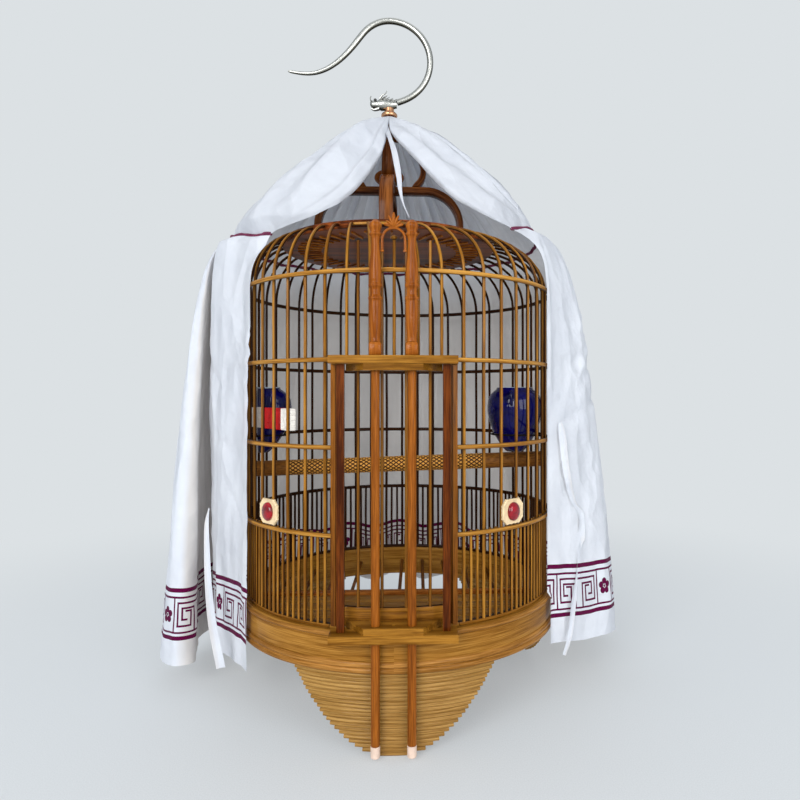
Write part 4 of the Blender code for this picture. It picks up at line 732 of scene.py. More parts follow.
def door_bars():
    for side, name in SIDES:
        centre = (side * BAR_X, BAR_Y)
        bar = [(3.9 * MM, mix(*span(f"door_bar_{name}", 2), share)) for share in steps(12)]
        shape = Shape().lathe(bar, centre, 28, side * 5.0)
        shape.make(f"door_bar_{name}_round", BAR_WOOD, f"door_bar_{name}", body="door_bars")
        low, high = span(f"door_bar_cap_{name}", 2)
        cap = profile(((0.3, 0), (3.6, 0), (4.1, 0.6), (4.15, 2)), low)
        cap += profile(((4.2, -0.4), (3.9, 0), (0.3, 0)), high)
        shape = Shape().lathe(cap, centre, 28)
        shape.make(f"door_bar_cap_{name}_round", CAP, f"door_bar_cap_{name}", body="door_bars")
        column(name, centre)


def column(name, centre):
    """Square foot, turned shaft with two rings, and a round cap with grooves."""
    low, high = span(f"door_column_{name}", 2)
    foot_top = low + 11.8 * MM
    shares = ((0.88, 0.0), (0.80, 0.03), (0.95, 0.12), (1.0, 0.22), (1.02, 0.31), (0.98, 0.335), (1.12, 0.35),
              (1.12, 0.362), (0.92, 0.375), (0.84, 0.40), (0.86, 0.435), (1.08, 0.452), (1.10, 0.468),
              (0.96, 0.482), (1.02, 0.52), (0.98, 0.60), (0.84, 0.68), (0.70, 0.75), (0.66, 0.82), (0.74, 0.86),
              (0.96, 0.875), (0.98, 0.888), (0.80, 0.90), (0.86, 0.92), (1.04, 0.945), (0.96, 0.972),
              (0.62, 0.988), (0.40, 1.0))
    turned = round_profile(profile(shares, foot_top, 5.5 * MM, high - foot_top), 3)
    shape = Shape().lathe(turned, centre, 28, 2.0 if name == "left" else 6.0)
    rings = []
    for z, size in ((low, 9.6), (low + 0.6 * MM, 10.8), (foot_top - 1.8 * MM, 10.8), (foot_top - 0.4 * MM, 9.0),
                    (foot_top, 7.6)):
        outline = rounded_box(size * MM, size * MM, 1.2 * MM)
        rings.append([Vector((centre[0] + a, centre[1] + b, z)) for a, b in outline])
    shape.skin(rings)
    shape.make(f"door_column_{name}_turned", CARVED_WOOD, f"door_column_{name}", body="door_bars", sharp=50.0)


def arch():
    """Horseshoe arch with curled side leaves and a palmette."""
    low = span("door_arch", 2)[0]
    radius = 9.9 * MM
    top = span("door_column_left", 2)[1] - 6.8 * MM
    spring = top - radius
    route = [(radius, mix(low, spring, share)) for share in steps(3)[:-1]]
    route += [(radius * cos(pi * share), spring + radius * sin(pi * share)) for share in steps(20)]
    route += [(-radius, mix(spring, low, share)) for share in steps(3)[1:]]
    shape = Shape()
    shape.tube([Vector((x, BAR_Y, z)) for x, z in route], rounded_box(2.3 * MM, 2.6 * MM, 0.8 * MM), BACK)
    crown = Vector((0, BAR_Y, top))
    for side in (-1, 1):
        leaf = smooth_path([crown + mm(side * x, y, z) for x, y, z in ((0.8, 0, 0.6), (4.5, -0.4, 2.6),
                                                                       (8.4, 0, 3.2))], 4)
        shape.tube(leaf, rounded_box(3.0 * MM, 3.2 * MM, 1.3 * MM), BACK,
                   [0.7, 0.85, 1.0, 1.1, 1.15, 1.1, 1.0, 0.8, 0.5])
        foot = profile(((0.2, 0), (1.7, 0.3), (1.8, 1.4), (1.1, 2)), low)
        shape.lathe(foot, (side * radius, BAR_Y), 12)
    for angle, length, wide in ((0, 12.6, 2.9), (24, 10.8, 2.6), (-24, 10.8, 2.6), (50, 8.6, 2.3),
                                (-50, 8.6, 2.3)):
        x, z = length * sin(radians(angle)), length * cos(radians(angle))
        petal = [crown + mm(x * s, -1.6 * sin(pi * s), z * s + 0.8) for s in steps(8)]
        sizes = [0.35 + 0.75 * sin(pi * min(1.0, s * 0.92 + 0.05)) for s in steps(8)]
        shape.tube(petal, rounded_box(wide * MM, 2.6 * MM, 1.1 * MM), BACK, sizes)
    shape.make("door_arch_carved", CARVED_WOOD, "door_arch", body="door_bars", sharp=60.0)


def gate():
    low, high = span("gate", 2)
    rail_height = 17.2 * MM
    outer = CAGE_RADIUS + WIRE_RADIUS
    half_angle = asin(span("gate", 0)[1] / outer)
    shape = Shape()
    for section, depth, z in ((rounded_box(3.6 * MM, rail_height, 0.9 * MM), 1.8 * MM, rail_height / 2),
                              (rounded_box(4.2 * MM, 4.2 * MM, 0.6 * MM), 1.7 * MM, rail_height - 2.1 * MM)):
        shape.band(section, outer - depth, low + z, -half_angle, half_angle, 32)
    for i in range(4):
        points = [polar(CAGE_RADIUS, (i - 1.5) * PITCH, mix(low + rail_height / 2, high, s)) for s in steps(4)]
        shape.rod(points, WIRE_RADIUS * 0.97, 9, i + 120)
    shape.make("gate_rail_and_rods", GATE_WOOD, "gate", body="gate")


# Perch, cups, clip and plates

PERCH_RADIUS = 8.8 * MM
PERCH_RISE = extent("perch", 2) / 2 - PERCH_RADIUS
PERCH_HALF = extent("perch", 0) / 2
LATTICE_ALONG, LATTICE_AROUND = 520, 6


def perch():
    """Round stick cut with a lattice of small diamonds between its plain ends."""
    rings = []
    for share in [2 * s - 1 for s in steps(400)]:
        x = PERCH_HALF * share
        z = middle("perch", 2) + PERCH_RISE * share
        rough = max(0.0, min(1.0, ((0.73 if share < 0 else 0.57) - abs(share)) / 0.02))
        ring = []
        for angle in turns(28):
            left, right = (abs(sin(LATTICE_ALONG * x + way * LATTICE_AROUND * angle)) for way in (1, -1))
            knurl = 2 * min(left, right) - 1
            lump = noise.noise(Vector((x * 420, cos(angle) * 3.0, sin(angle) * 3.0)))
            size = PERCH_RADIUS * 0.985 - rough * (0.35 * MM - 0.50 * MM * knurl - 0.35 * MM * lump)
            size = min(size, PERCH_RADIUS)
            ring.append(Vector((x, size * cos(angle), z + size * sin(angle))))
        rings.append(ring)
    Shape().skin(rings).make("perch_rough", perch_wood(), "perch", body="perch", sharp=70.0)


def perch_wood():
    """Turned wood with the same lattice in its colour."""
    n = material("perch_wood")
    place = n.coords()
    split = n.split(place)
    along = n.minus(split[0], AXIS.x)
    height = n.minus(n.minus(split[2], middle("perch", 2)), n.times(along, PERCH_RISE / PERCH_HALF))
    around = n.times(n.math("ARCTAN2", n.minus(split[1], AXIS.y), height), LATTICE_AROUND)
    run = n.times(along, LATTICE_ALONG)
    left, right = (n.math("ABSOLUTE", n.math("SINE", way(run, around))) for way in (n.plus, n.minus))
    cut = n.math("MINIMUM", left, right)
    cloud = n.noise(n.stretch(place, (160.0, 700.0, 700.0)), 1.0, 3.0)
    inside = n.times(n.math("GREATER_THAN", along, -0.122), n.math("LESS_THAN", along, 0.096))
    plain_wood = n.ramp(cloud, (0.34, srgb(104, 60, 16)), (0.66, srgb(156, 100, 38)))
    lattice = n.ramp(cut, (0.22, srgb(34, 12, 0)), (0.45, srgb(132, 78, 20)), (0.72, srgb(228, 164, 74)))
    n.set(Base_Color=n.blend(inside, plain_wood, lattice), Roughness=0.5, Specular_IOR_Level=0.2)
    n.bump(n.times(cut, inside), 0.6, 0.0008)
    return n.owner


def cup_frame(side, name):
    """Centre and belly radius of a cup, its direction out to the wires, and how its back is flattened."""
    node = f"cup_{name}"
    centre = Vector((middle(node, 0), middle(node, 1), 0))
    belly = extent(node, 0) / 2 * (1.0 if side < 0 else 1.09)
    outward = polar(1, side * 10 * PITCH)

    def squash(point):
        """The left jar is shallower than it is wide, with its back kept at the wires."""
        depth = (centre + outward * belly - point).dot(outward)
        return point + outward * depth * (0.19 if side < 0 else 0.0)

    return centre, belly, outward, squash


def cups():
    """Glazed jars with a pale rim and two ears; the left one has its flat back to the wires."""
    shares = ((0.27, 0.0), (0.33, 0.012), (0.47, 0.07), (0.60, 0.16), (0.74, 0.26), (0.84, 0.36), (0.93, 0.47),
              (0.99, 0.60), (1.0, 0.70), (0.97, 0.81), (0.88, 0.89), (0.76, 0.94), (0.68, 0.965), (0.655, 0.992))
    wall_depth = 3.0 * MM
    for side, name in SIDES:
        node = f"cup_{name}"
        z0, z1 = span(node, 2)
        centre, belly, outward, squash = cup_frame(side, name)
        lean = outward * (0.92 if side < 0 else 0.0)
        outer = profile(shares, z0, belly, z1 - z0)
        inner = [(radius - wall_depth, max(z, z0 + wall_depth)) for radius, z in reversed(outer[2:])]
        lip = [(belly * 0.63, z1 - 0.1 * MM), (belly * 0.60, z1 - 0.3 * MM)]
        rings = []
        for radius, z in [(0.5 * MM, z0)] + outer + lip + inner + [(0.5 * MM, z0 + wall_depth)]:
            at = centre + lean * (belly - max(radius, belly * 0.34))
            rings.append([squash(at + polar(radius, angle, z)) for angle in turns(56)])
        shape = Shape().skin(rings)
        for turn in (-1, 1):
            along = polar(1, side * 10 * PITCH + pi / 2) * turn
            root = centre + lean * belly * 0.2
            ear = [squash(root + along * out + UP * z) for out, z in profile(
                ((0.84, 0.90), (1.0, 0.93), (1.08, 0.86), (1.04, 0.76), (0.93, 0.72)), z0, belly, z1 - z0)]
            shape.tube(smooth_path(ear, 4), circle(1.6 * MM, 8), outward)
        shape.make(f"{node}_glazed", GLAZE, node, body=node, sharp=60.0)
        at = centre + lean * belly * 0.36
        ring = [(belly * 0.615 + 1.3 * MM * cos(a), z1 - 0.9 * MM + 0.9 * MM * sin(a)) for a in turns(10)]
        rings = [[squash(at + polar(radius, angle, z)) for radius, z in ring] for angle in turns(56)]
        Shape().skin(rings, closed_path=True).make(f"{node}_rim", RIM, body=node)


WALL_REACH = CAGE_RADIUS - WIRE_RADIUS * cos(pi / 4) - 0.3 * MM


def cup_rings():
    """Wire ring of each cup with two arms that end on wires."""
    opening = radians(62.0)
    for side, name in SIDES:
        centre, belly, outward, squash = cup_frame(side, name)
        node = f"cup_ring_{name}"
        centre.z = middle(node, 2)
        turn = side * 10 * PITCH
        along_wall = polar(1, turn + pi / 2)
        radius = belly * 0.82 + 1.0 * MM
        points = [squash(centre + radius * (cos(a) * outward + sin(a) * along_wall))
                  for a in [mix(opening, tau - opening, share) for share in steps(40)]]
        ends = [polar(WALL_REACH, turn + way * PITCH, centre.z) for way in (1, -1)]
        shape = Shape().tube([ends[0], *points, ends[1]], circle(0.9 * MM, 10), UP)
        shape.make(f"{node}_wire", IRON, node)


def carved_block(centre, along, outward, length, height, depth, seed):
    """Block with a scalloped edge, a raised frame and a carved flower."""
    cells_u, cells_v = 26, 22
    front = []
    for v in [2 * s - 1 for s in steps(cells_v)]:
        row = []
        for u in [2 * s - 1 for s in steps(cells_u)]:
            edge = min(1 - abs(u), 1 - abs(v))
            scallop = 1.0 - 0.05 * abs(sin(4.5 * pi * v)) * (abs(u) > 0.93)
            scallop -= 0.05 * abs(sin(4.5 * pi * u)) * (abs(v) > 0.93)
            rim = 0.5 if edge < 0.16 else 0.0
            r, a = sqrt(u * u + v * v), atan2(v, u)
            flower = 0.55 * max(0.0, cos(2.5 * a + seed) ** 2 * (1 - abs(r - 0.36) / 0.34)) if r < 0.7 else 0.0
            core = 0.5 * max(0.0, 1 - r / 0.16)
            curls = 0.35 * max(0.0, sin(9 * u + seed) * sin(8 * v)) if 0.16 <= edge < 0.45 else 0.0
            lift = depth * 0.34 * (max(rim, flower, core, curls) - 0.5)
            row.append(centre + along * (length / 2 * u * scallop) + UP * (height / 2 * v * scallop)
                       + outward * min(lift, 0.0))
        front.append(row)
    shape = Shape()
    wide = cells_u + 1
    shape.points.extend(point for row in front for point in row)
    for a in [j * wide + i for j in range(cells_v) for i in range(cells_u)]:
        shape.faces.append((a, a + 1, a + wide + 1, a + wide))
        shape.places.append(((0, 0), (0.001, 0), (0.001, 0.001), (0, 0.001)))
    border = front[0] + [row[-1] for row in front[1:]] + front[-1][-2::-1] + [row[0] for row in front[-2:0:-1]]
    back = [p - outward * depth for p in border]
    shape.skin([border, back], caps=False)
    base = len(shape.points)
    shape.points.extend(back)
    shape.faces.append(range(base + len(back) - 1, base - 1, -1))
    shape.places.append([(0.0, 0.0)] * len(back))
    return shape


def clip():
    """Red bar between two carved white blocks, inside the wires beside the left cup."""
    turn = -7.5 * PITCH
    outward, along = polar(1, turn), polar(1, turn + pi / 2)
    face, half = WALL_REACH * cos(2.5 * PITCH), WALL_REACH * sin(2.5 * PITCH)
    z = middle("cup_clip_bar", 2)
    back_length, front_length = 38.0 * MM, 24.5 * MM
    back_end, front_end = back_length - half, half - front_length + 3.4 * MM
    points = [outward * (face - 2.5 * MM) + along * mix(back_end, front_end, share) + UP * z
              for share in steps(96)]
    scales = [1.0 - 0.035 * (sin(pi * i / 6) ** 2 > 0.6) for i in range(97)]
    shape = Shape().tube(points, rounded_box(21.0 * MM, 5.0 * MM, 0.5 * MM), -outward, scales)
    shape.make("clip_red_bar", RED, "cup_clip_bar")
    for node, place, length, seed in (("cup_clip_end_back", back_end - back_length / 2, back_length, 0.4),
                                      ("cup_clip_end_front", front_end + front_length / 2, front_length, 1.7)):
        shape = carved_block(outward * face + along * place + UP * z, along, outward, length,
                             extent("cup_clip_bar", 2), 5.0 * MM, seed)
        shape.make(f"{node}_carved", BONE, node, sharp=25.0)


def plates():
    """Notched plates with beaded edges, and an oval stone in a bezel on each."""
    for side, name in SIDES:
        node = f"plate_{name}"
        turn = side * 6 * PITCH - (0.020 if side < 0 else 0.058)
        outward, along = polar(1, turn), polar(1, turn + pi / 2)
        back = outward * (CAGE_RADIUS + WIRE_RADIUS + 0.3 * MM) + UP * (middle(node, 2) - 0.9 * MM)
        half_w, half_h, notch = 14.6 * MM, extent(node, 2) / 2 - 1.2 * MM, 5.5 * MM
        corners = [(half_w, half_h - notch), (half_w - notch, half_h), (notch - half_w, half_h),
                   (-half_w, half_h - notch)]
        corners += [(-a, -b) for a, b in corners]
        outline = []
        for (a, b), (c, d) in zip(corners, corners[1:] + corners[:1]):
            for share in steps(6)[:-1]:
                dent = 0.45 * MM * sin(pi * 3 * share) ** 2
                outline.append((mix(a, c, share) * (1 - dent / half_w), mix(b, d, share) * (1 - dent / half_h)))
        rings = []
        for depth, size in ((0.0, 0.99), (0.3, 1.0), (2.2, 1.0), (2.9, 0.97), (3.0, 0.93), (2.3, 0.84),
                            (2.2, 0.75)):
            rings.append([back + outward * depth * MM + along * u * size + UP * v * size for u, v in outline])
        Shape().skin(rings).make(f"{node}_notched", CREAM, node, sharp=30.0)
        face = back + outward * 3.3 * MM
        rings = []
        for size, lift in ((1.0, -0.9), (1.0, 0.4), (0.96, 1.1), (0.86, 1.9), (0.70, 2.7), (0.48, 3.2),
                           (0.22, 3.5), (0.04, 3.6)):
            rings.append([face + (outward * lift + size * (along * 8.0 * cos(a) + UP * 8.8 * sin(a))) * MM
                          for a in turns(32)])
        Shape().skin(rings).make(f"{node}_stone", GEM, f"plate_gem_{name}", sharp=60.0)


# Cover: a crown round the hook's neck and a skirt that hangs from its seam

def seen(x, y, z):
    """A point given in millimetres with y straight away from the camera."""
    c, s = cos(CAMERA_TURN), sin(CAMERA_TURN)
    return mm(x * c - y * s, x * s + y * c, z)


def ring_point(radius, degrees, z):
    return tuple(polar(radius, radians(degrees), z))


# Each row of the skirt: seam (radius, degrees, height), the hem before it folds, and the hem, in millimetres.
SKIRT_LEFT = (
    ((150, -58.6, 478), (-148, -95, 47), (-148, -95, 47)),
    ((158, -67, 480), (-176, -68, 48), (-168, -66, 48)),
    ((171, -76, 485), (-212, -36, 46), (-189, -38, 46)),
    ((181, -83.5, 488), (-240, -16, 42), (-203, -4, 42)),
    ((182, -87.0, 488), (-246, -2, 36), (-214, 38, 36)),
    ((178, -89.2, 487), (-248, 8, 32), (-228, 86, 32)),
    ((179, -90.2, 487), (-250, 8, 31), (-234, 52, 31)),
    ((182, -91.0, 487), (-253, 4, 31), (-226, 4, 31)),
    ((184, -92.0, 487), (-255, 0, 31), (-219, -26, 31)),
    ((185, -93.2, 487), (-257, -4, 31), (-232, -35, 31)),
    ((185, -95, 487), (-260, -4, 30), (-251, -26, 30)),
    ((186, -98.5, 486), (-263, 8, 28), (-263, 0, 28)),
    ((186, -103, 485), (-263, 34, 22), (-262, 40, 22)),
)
SKIRT_RIGHT = (
    ((168, 109, 490), (262, 104, 22), (270, 104, 22)),
    ((165, 104, 491), (258, 82, 30), (262, 78, 30)),
    ((164, 101, 492), (252, 58, 40), (252, 52, 40)),
    ((163, 98.5, 493), (248, 30, 48), (247, 26, 48)),
    ((161, 95.5, 493), (244, 0, 52), (244, -6, 53)),
    ((158, 92, 493), (238, -30, 55), (239, -32, 56)),
    ((154, 86, 494), (226, -44, 57), (227, -46, 57)),
    ((151, 75, 493), (202, -58, 58), (200, -60, 58)),
    ((148, 62, 491), (175, -71, 60), (175, -72, 60)),
    ((147, 50, 483), (151, -82, 62), (151, -82, 62)),
)
SKIRT_BACK_ROWS = 32
SKIRT_FOLDS = 13
BORDER_PERIOD = 0.1464
BORDER_ENDS = 0.1625
BORDER_START = 0.0018
SKIRT_COLUMNS = 420
SKIRT_ROWS = 96
CROWN_ROWS = 56
CROWN_PROFILE = ((0, 0), (0.13, 0.075), (0.31, 0.20), (0.55, 0.455), (0.78, 0.705), (0.915, 0.865), (1, 1))
NECK_RADIUS, NECK_Z = 7.0 * MM, 629.4 * MM
# How far the crown's front edges turn from the seam's angle, in degrees, at even steps down from the neck.
CROWN_EDGE_LEFT = (0, -2, -3, -4, -6, -10, -14, -18, -23, -33, -56.3)
CROWN_EDGE_RIGHT = (0, 0, 2, 9, 17, 22, 25, 27.5, 31, 40, 52.6)


def skirt_stations():
    """Seam, plain hem and folded hem at even steps along the hem."""
    rows = [(ring_point(*seam), plain, hem) for seam, plain, hem in SKIRT_LEFT]
    for share in steps(SKIRT_BACK_ROWS)[1:-1]:
        fade = min(1.0, 5 * share, 5 * (1 - share))
        turn = mix(-98.7, -250.5, share)
        swing = cos(tau * SKIRT_FOLDS * ((turn + 180) / 238)) * fade
        size = 20.0 + 3.0 * sin(11 * share + 1.0)
        behind = sin(pi * share)
        seam = ring_point(mix(189, 167, share) + 8.5 * behind + 4.5 * swing, mix(-103, -251, share),
                          mix(485, 490, share))
        inward = 18 * behind ** 0.8
        low = mix(22, 20, share) + 26 * behind ** 0.8
        plain = ring_point(mix(262, 272, share ** 3) - inward, turn, low)
        hem = ring_point(mix(264, 277, share ** 3) - inward + size * swing, turn, low)
        rows.append((seam, plain, hem))
    rows += [(ring_point(*seam), plain, hem) for seam, plain, hem in SKIRT_RIGHT]
    lines = [smooth_path([seen(*row[k]) for row in rows], 12) for k in range(3)]
    run = [*accumulate(((b - a).length for a, b in zip(lines[2], lines[2][1:])), initial=0.0)]
    out, i = [], 0
    for column in steps(SKIRT_COLUMNS):
        target = run[-1] * column
        while i < len(run) - 2 and run[i + 1] < target:
            i += 1
        share = (target - run[i]) / (run[i + 1] - run[i])
        out.append((target, *(mix(line[i], line[i + 1], share) for line in lines)))
    return out


def keep_outside(point):
    """Push a point of the cloth out of the wires, hoops and ring."""
    radius = point.xy.length
    least = 172.2 * MM if point.z > 112 * MM else 176.0 * MM
    if point.z > SHOULDER_Z:
        rise = min(1.0, (point.z - SHOULDER_Z) / BEND_RADIUS)
        least = CAGE_RADIUS - BEND_RADIUS * (1 - sqrt(1 - rise * rise)) + 8.0 * MM
    if 0 < radius < least:
        point.xy *= least / radius
    return point


def hump(value, width):
    return exp(-(value / width) ** 2)


def crease(u, v, u0, v0, u1, v1, width):
    """A sharp fold line from one place on the cloth to another."""
    du, dv = u1 - u0, v1 - v0
    share = ((u - u0) * du + (v - v0) * dv) / (du * du + dv * dv)
    if not 0 < share < 1:
        return 0.0
    off = abs((u - u0) * dv - (v - v0) * du) / sqrt(du * du + dv * dv)
    return exp(-off / width) * sin(pi * share)


# Creases on the front flaps, each from (u, v) to (u, v) with its width, in metres from the flap's own edge.
CREASES_LEFT = ((0.06, 0.27, 0.15, 0.33, 0.006), (0.02, 0.20, 0.10, 0.235, 0.006),
                (0.01, 0.13, 0.075, 0.19, 0.006), (0.235, 0.30, 0.30, 0.26, 0.006))
CREASES_RIGHT = ((0.050, 0.255, 0.125, 0.315, 0.007), (0.075, 0.245, 0.135, 0.275, 0.006),
                 (0.015, 0.30, 0.035, 0.43, 0.007), (0.02, 0.22, 0.08, 0.25, 0.006))


def rumple(u, v, share, width):
    """How far the cloth stands off its plain shape, in metres, at u along the hem and v above it."""
    def lumps(x, y, seed):
        return noise.noise(Vector((u * x, v * y, seed)))

    right = width - u
    out = (3.0 * lumps(26, 3.5, 1.0) + 2.0 * lumps(55, 12, 4.0)) * min(1.0, share * 3)
    out += 0.8 * lumps(110, 70, 8.0)
    out += 4.2 * hump(u - 0.012, 0.022) * hump(v - 0.318, 0.035) * lumps(30, 95, 12.0)
    out += 4.0 * hump(right - 0.100, 0.045) * hump(v - 0.315, 0.045) * lumps(50, 70, 16.0)
    out -= 3.0 * sum(crease(u, v, *line) for line in CREASES_LEFT)
    out -= 4.2 * sum(crease(right, v, *line) for line in CREASES_RIGHT)
    return out * MM


def skirt_grid(stations):
    """Points of the skirt, row by row from the seam down, and their heights above the hem."""
    width = stations[-1][0]
    rows, heights = [], []
    for share in steps(SKIRT_ROWS):
        row = []
        for u, seam, plain, hem in stations:
            left, right = hump(u, 0.018), hump(width - u, 0.018)
            behind = max(0.0, min(1.0, seam.y / 0.13))
            spread = share ** mix(0.29 if 2 * u < width else 0.33, 0.5, behind) * (1 - left - right)
            spread += left * (1 - exp(-share / 0.12)) + right * (1 - exp(-share / 0.03))
            point = seam + (plain - seam) * spread + (hem - plain) * share ** 0.6
            point.z = mix(seam.z, hem.z, share)
            row.append(point)
        rows.append(row)
        heights.append([(1 - share) * (seam.z - hem.z) for _, seam, _, hem in stations])
    out = []
    for j, row in enumerate(rows):
        above, below = rows[max(j - 1, 0)], rows[min(j + 1, SKIRT_ROWS)]
        share = j / SKIRT_ROWS
        line = []
        for i, point in enumerate(row):
            sideways = row[min(i + 1, SKIRT_COLUMNS)] - row[max(i - 1, 0)]
            normal = sideways.cross(below[i] - above[i]).normalized()
            lift = rumple(stations[i][0], heights[j][i], share, width) * min(1.0, share * 12)
            line.append(keep_outside(point + normal * lift))
        out.append(line)
    return out, heights


def cloth_piece(name, rows, places, finish, *stands_for):
    """A single sheet from a grid of points, its faces towards the outside."""
    shape = Shape()
    wide = len(rows[0])
    shape.points.extend(point for row in rows for point in row)
    for j in range(len(rows) - 1):
        for i in range(wide - 1):
            corners = ((j, i), (j + 1, i), (j + 1, i + 1), (j, i + 1))
            shape.faces.append([a * wide + b for a, b in corners])
            shape.places.append([places[a][b] for a, b in corners])
    return shape.make(name, finish, *stands_for, sharp=180.0, tidy=False)


def turned_edge(row, place, first, depth):
    """The crown's front edge folded inwards, outermost point first."""
    sign = -1 if first == 0 else 1
    edge = row[first]
    back = (row[first - sign] - edge).normalized()
    under = Vector((-edge.x * 0.25, -edge.y * 0.15, -0.05)).normalized()
    points, places = [], []
    for k in range(5, 0, -1):
        bend = 0.62 * k / 5
        along = (under * cos(bend) + back * sin(bend)).normalized()
        points.append(edge + (along + Vector((0, 0, -0.75))).normalized() * depth * k / 5)
        places.append((place[first][0] + sign * 0.004 * k, place[first][1]))
    return points, places


def crown_ripple(u, share):
    """Gathered folds of the crown, in millimetres."""
    out = 4.2 * sin(u * 95 + 2 * sin(u * 31)) + 3.0 * sin(u * 215 + 5 * share + 1.5 * sin(u * 47))
    out += 3.2 * noise.noise(Vector((u * 40, share * 4, 20.0)))
    out += 1.8 * noise.noise(Vector((u * 90, share * 16, 24.0)))
    return out + 6.5 * (1 - abs(sin(u * 41 + 0.9 * sin(u * 17) + 0.6 * share))) ** 4


def crown_grid(stations):
    """Points of the crown from the neck to the seam, with its front edges turned in."""
    bow_line = smooth_path([Vector((a, b, 0)) for a, b in CROWN_PROFILE], 10)
    width = stations[-1][0]
    rows, places = [], []
    for share in steps(CROWN_ROWS):
        bowed = bow_line[round(share * (len(bow_line) - 1))]
        row, place = [], []
        for u, seam, _, _ in stations:
            table = CROWN_EDGE_LEFT if 2 * u < width else CROWN_EDGE_RIGHT
            edge = min(u, width - u)
            step = min(int(share * 10), 9)
            shift = mix(table[step], table[step + 1], share * 10 - step) - table[-1]
            angle = atan2(seam.x - TOP_X, -seam.y) + radians(shift) * hump(edge, 0.085)
            reach = sqrt((seam.x - TOP_X) ** 2 + seam.y ** 2)
            bow = min(1.0, 0.25 + edge / 0.10)
            a, b = mix(share, bowed.x, bow), mix(share, bowed.y, bow)
            ripple = sin(pi * share) ** 1.2 * min(1.0, edge / 0.03) * crown_ripple(u, share) * MM
            row.append(polar(mix(NECK_RADIUS, reach, a) + ripple * 0.7, angle,
                             mix(NECK_Z, seam.z, b) + ripple * 0.6) + RIGHT * TOP_X)
            place.append((u, 0.6 + 0.24 * share))
        depth = 9.0 * MM * sin(pi * min(1.0, share * 1.02)) ** 0.7
        left, right = (turned_edge(row, place, first, depth) for first in (0, -1))
        rows.append(left[0] + row + right[0][::-1])
        places.append(left[1] + place + right[1][::-1])
    return rows, places


def tie(name, points, widths):
    """Ribbon through points, with its own width and facing at even steps."""
    path = smooth_path([seen(*p) for p in points], 6)
    rows = []
    for (point, along), share in zip(tangents(path), steps(len(path) - 1)):
        place = share * (len(widths) - 1)
        k = min(int(place), len(widths) - 2)
        wide, facing = (mix(widths[k][n], widths[k + 1][n], place - k) for n in (0, 1))
        across = Vector((cos(radians(facing)), sin(radians(facing)), 0))
        across = (across - along * across.dot(along)).normalized()
        belly = along.cross(across) * 0.12
        rows.append([point + (across * out - belly * deep) * wide * MM
                     for out, deep in ((-0.5, 0), (-0.25, 1), (0, 1.3), (0.25, 1), (0.5, 0))])
    places = [[(0.001 * a, i * 0.002) for a in range(5)] for i in range(len(rows))]
    return cloth_piece(name, rows, places, CROWN_COTTON)


# Ties, as (x, y, z) seen from the camera and (width, facing degrees), in millimetres.
TIES = (
    ("tie_left", ((-196, -52, 200), (-195, -64, 186), (-193, -70, 160), (-190, -75, 124), (-185, -79, 88),
                  (-176, -82, 46)), ((1, 0), (4, 10), (6, -5), (7, 0), (8, 10), (9, 0))),
    ("tie_right", ((167, -73, 288), (168.5, -76, 276), (173.5, -74, 238), (182, -68, 206), (192.5, -62, 189),
                   (192.5, -62, 170), (190, -63, 158), (186, -68, 127), (181, -74, 98), (176, -79, 69),
                   (168.8, -83, 50)), ((4, 0), (8, 10), (7, 0), (5, 10), (9, 40), (10, 0), (2.5, 60), (6, 20),
                                       (5, 10), (3.5, 0))),
    ("tie_front", ((-16, -12, 621), (-15, -24, 611), (-9.6, -52, 587), (-5.5, -73, 568), (-2.1, -90, 546),
                   (0.2, -96, 530), (0.9, -98, 520), (3.8, -101, 505), (10, -104, 490)),
     ((6, 0), (7, 10), (5, 20), (6, 10), (6, 0), (5, 0), (4, 10), (2, 30), (1, 30))),
)


def cover():
    stations = skirt_stations()
    rows, heights = skirt_grid(stations)
    width = stations[-1][0]
    repeats = round((width - BORDER_ENDS) / BORDER_PERIOD)
    scale = (repeats * BORDER_PERIOD + BORDER_ENDS) / width
    places = [[(station[0] * scale, high) for station, high in zip(stations, line)] for line in heights]
    skirt = cloth_piece("cover_skirt", rows, places, PRINTED_COTTON, "cover")
    crown = cloth_piece("cover_crown", *crown_grid(stations), CROWN_COTTON)
    path = [point + UP * 0.7 * MM * sin(i * 0.9) for i, point in enumerate(rows[0][::2])]
    thickness = [1.0 + 0.12 * sin(i * 1.3) + 0.1 * sin(i * 3.7) for i in range(len(path))]
    piping = Shape().tube(path, circle(1.9 * MM, 8), UP, thickness).make("cover_piping", PIPING)
    ties = [tie(*line) for line in TIES]
    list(ties[:-1])


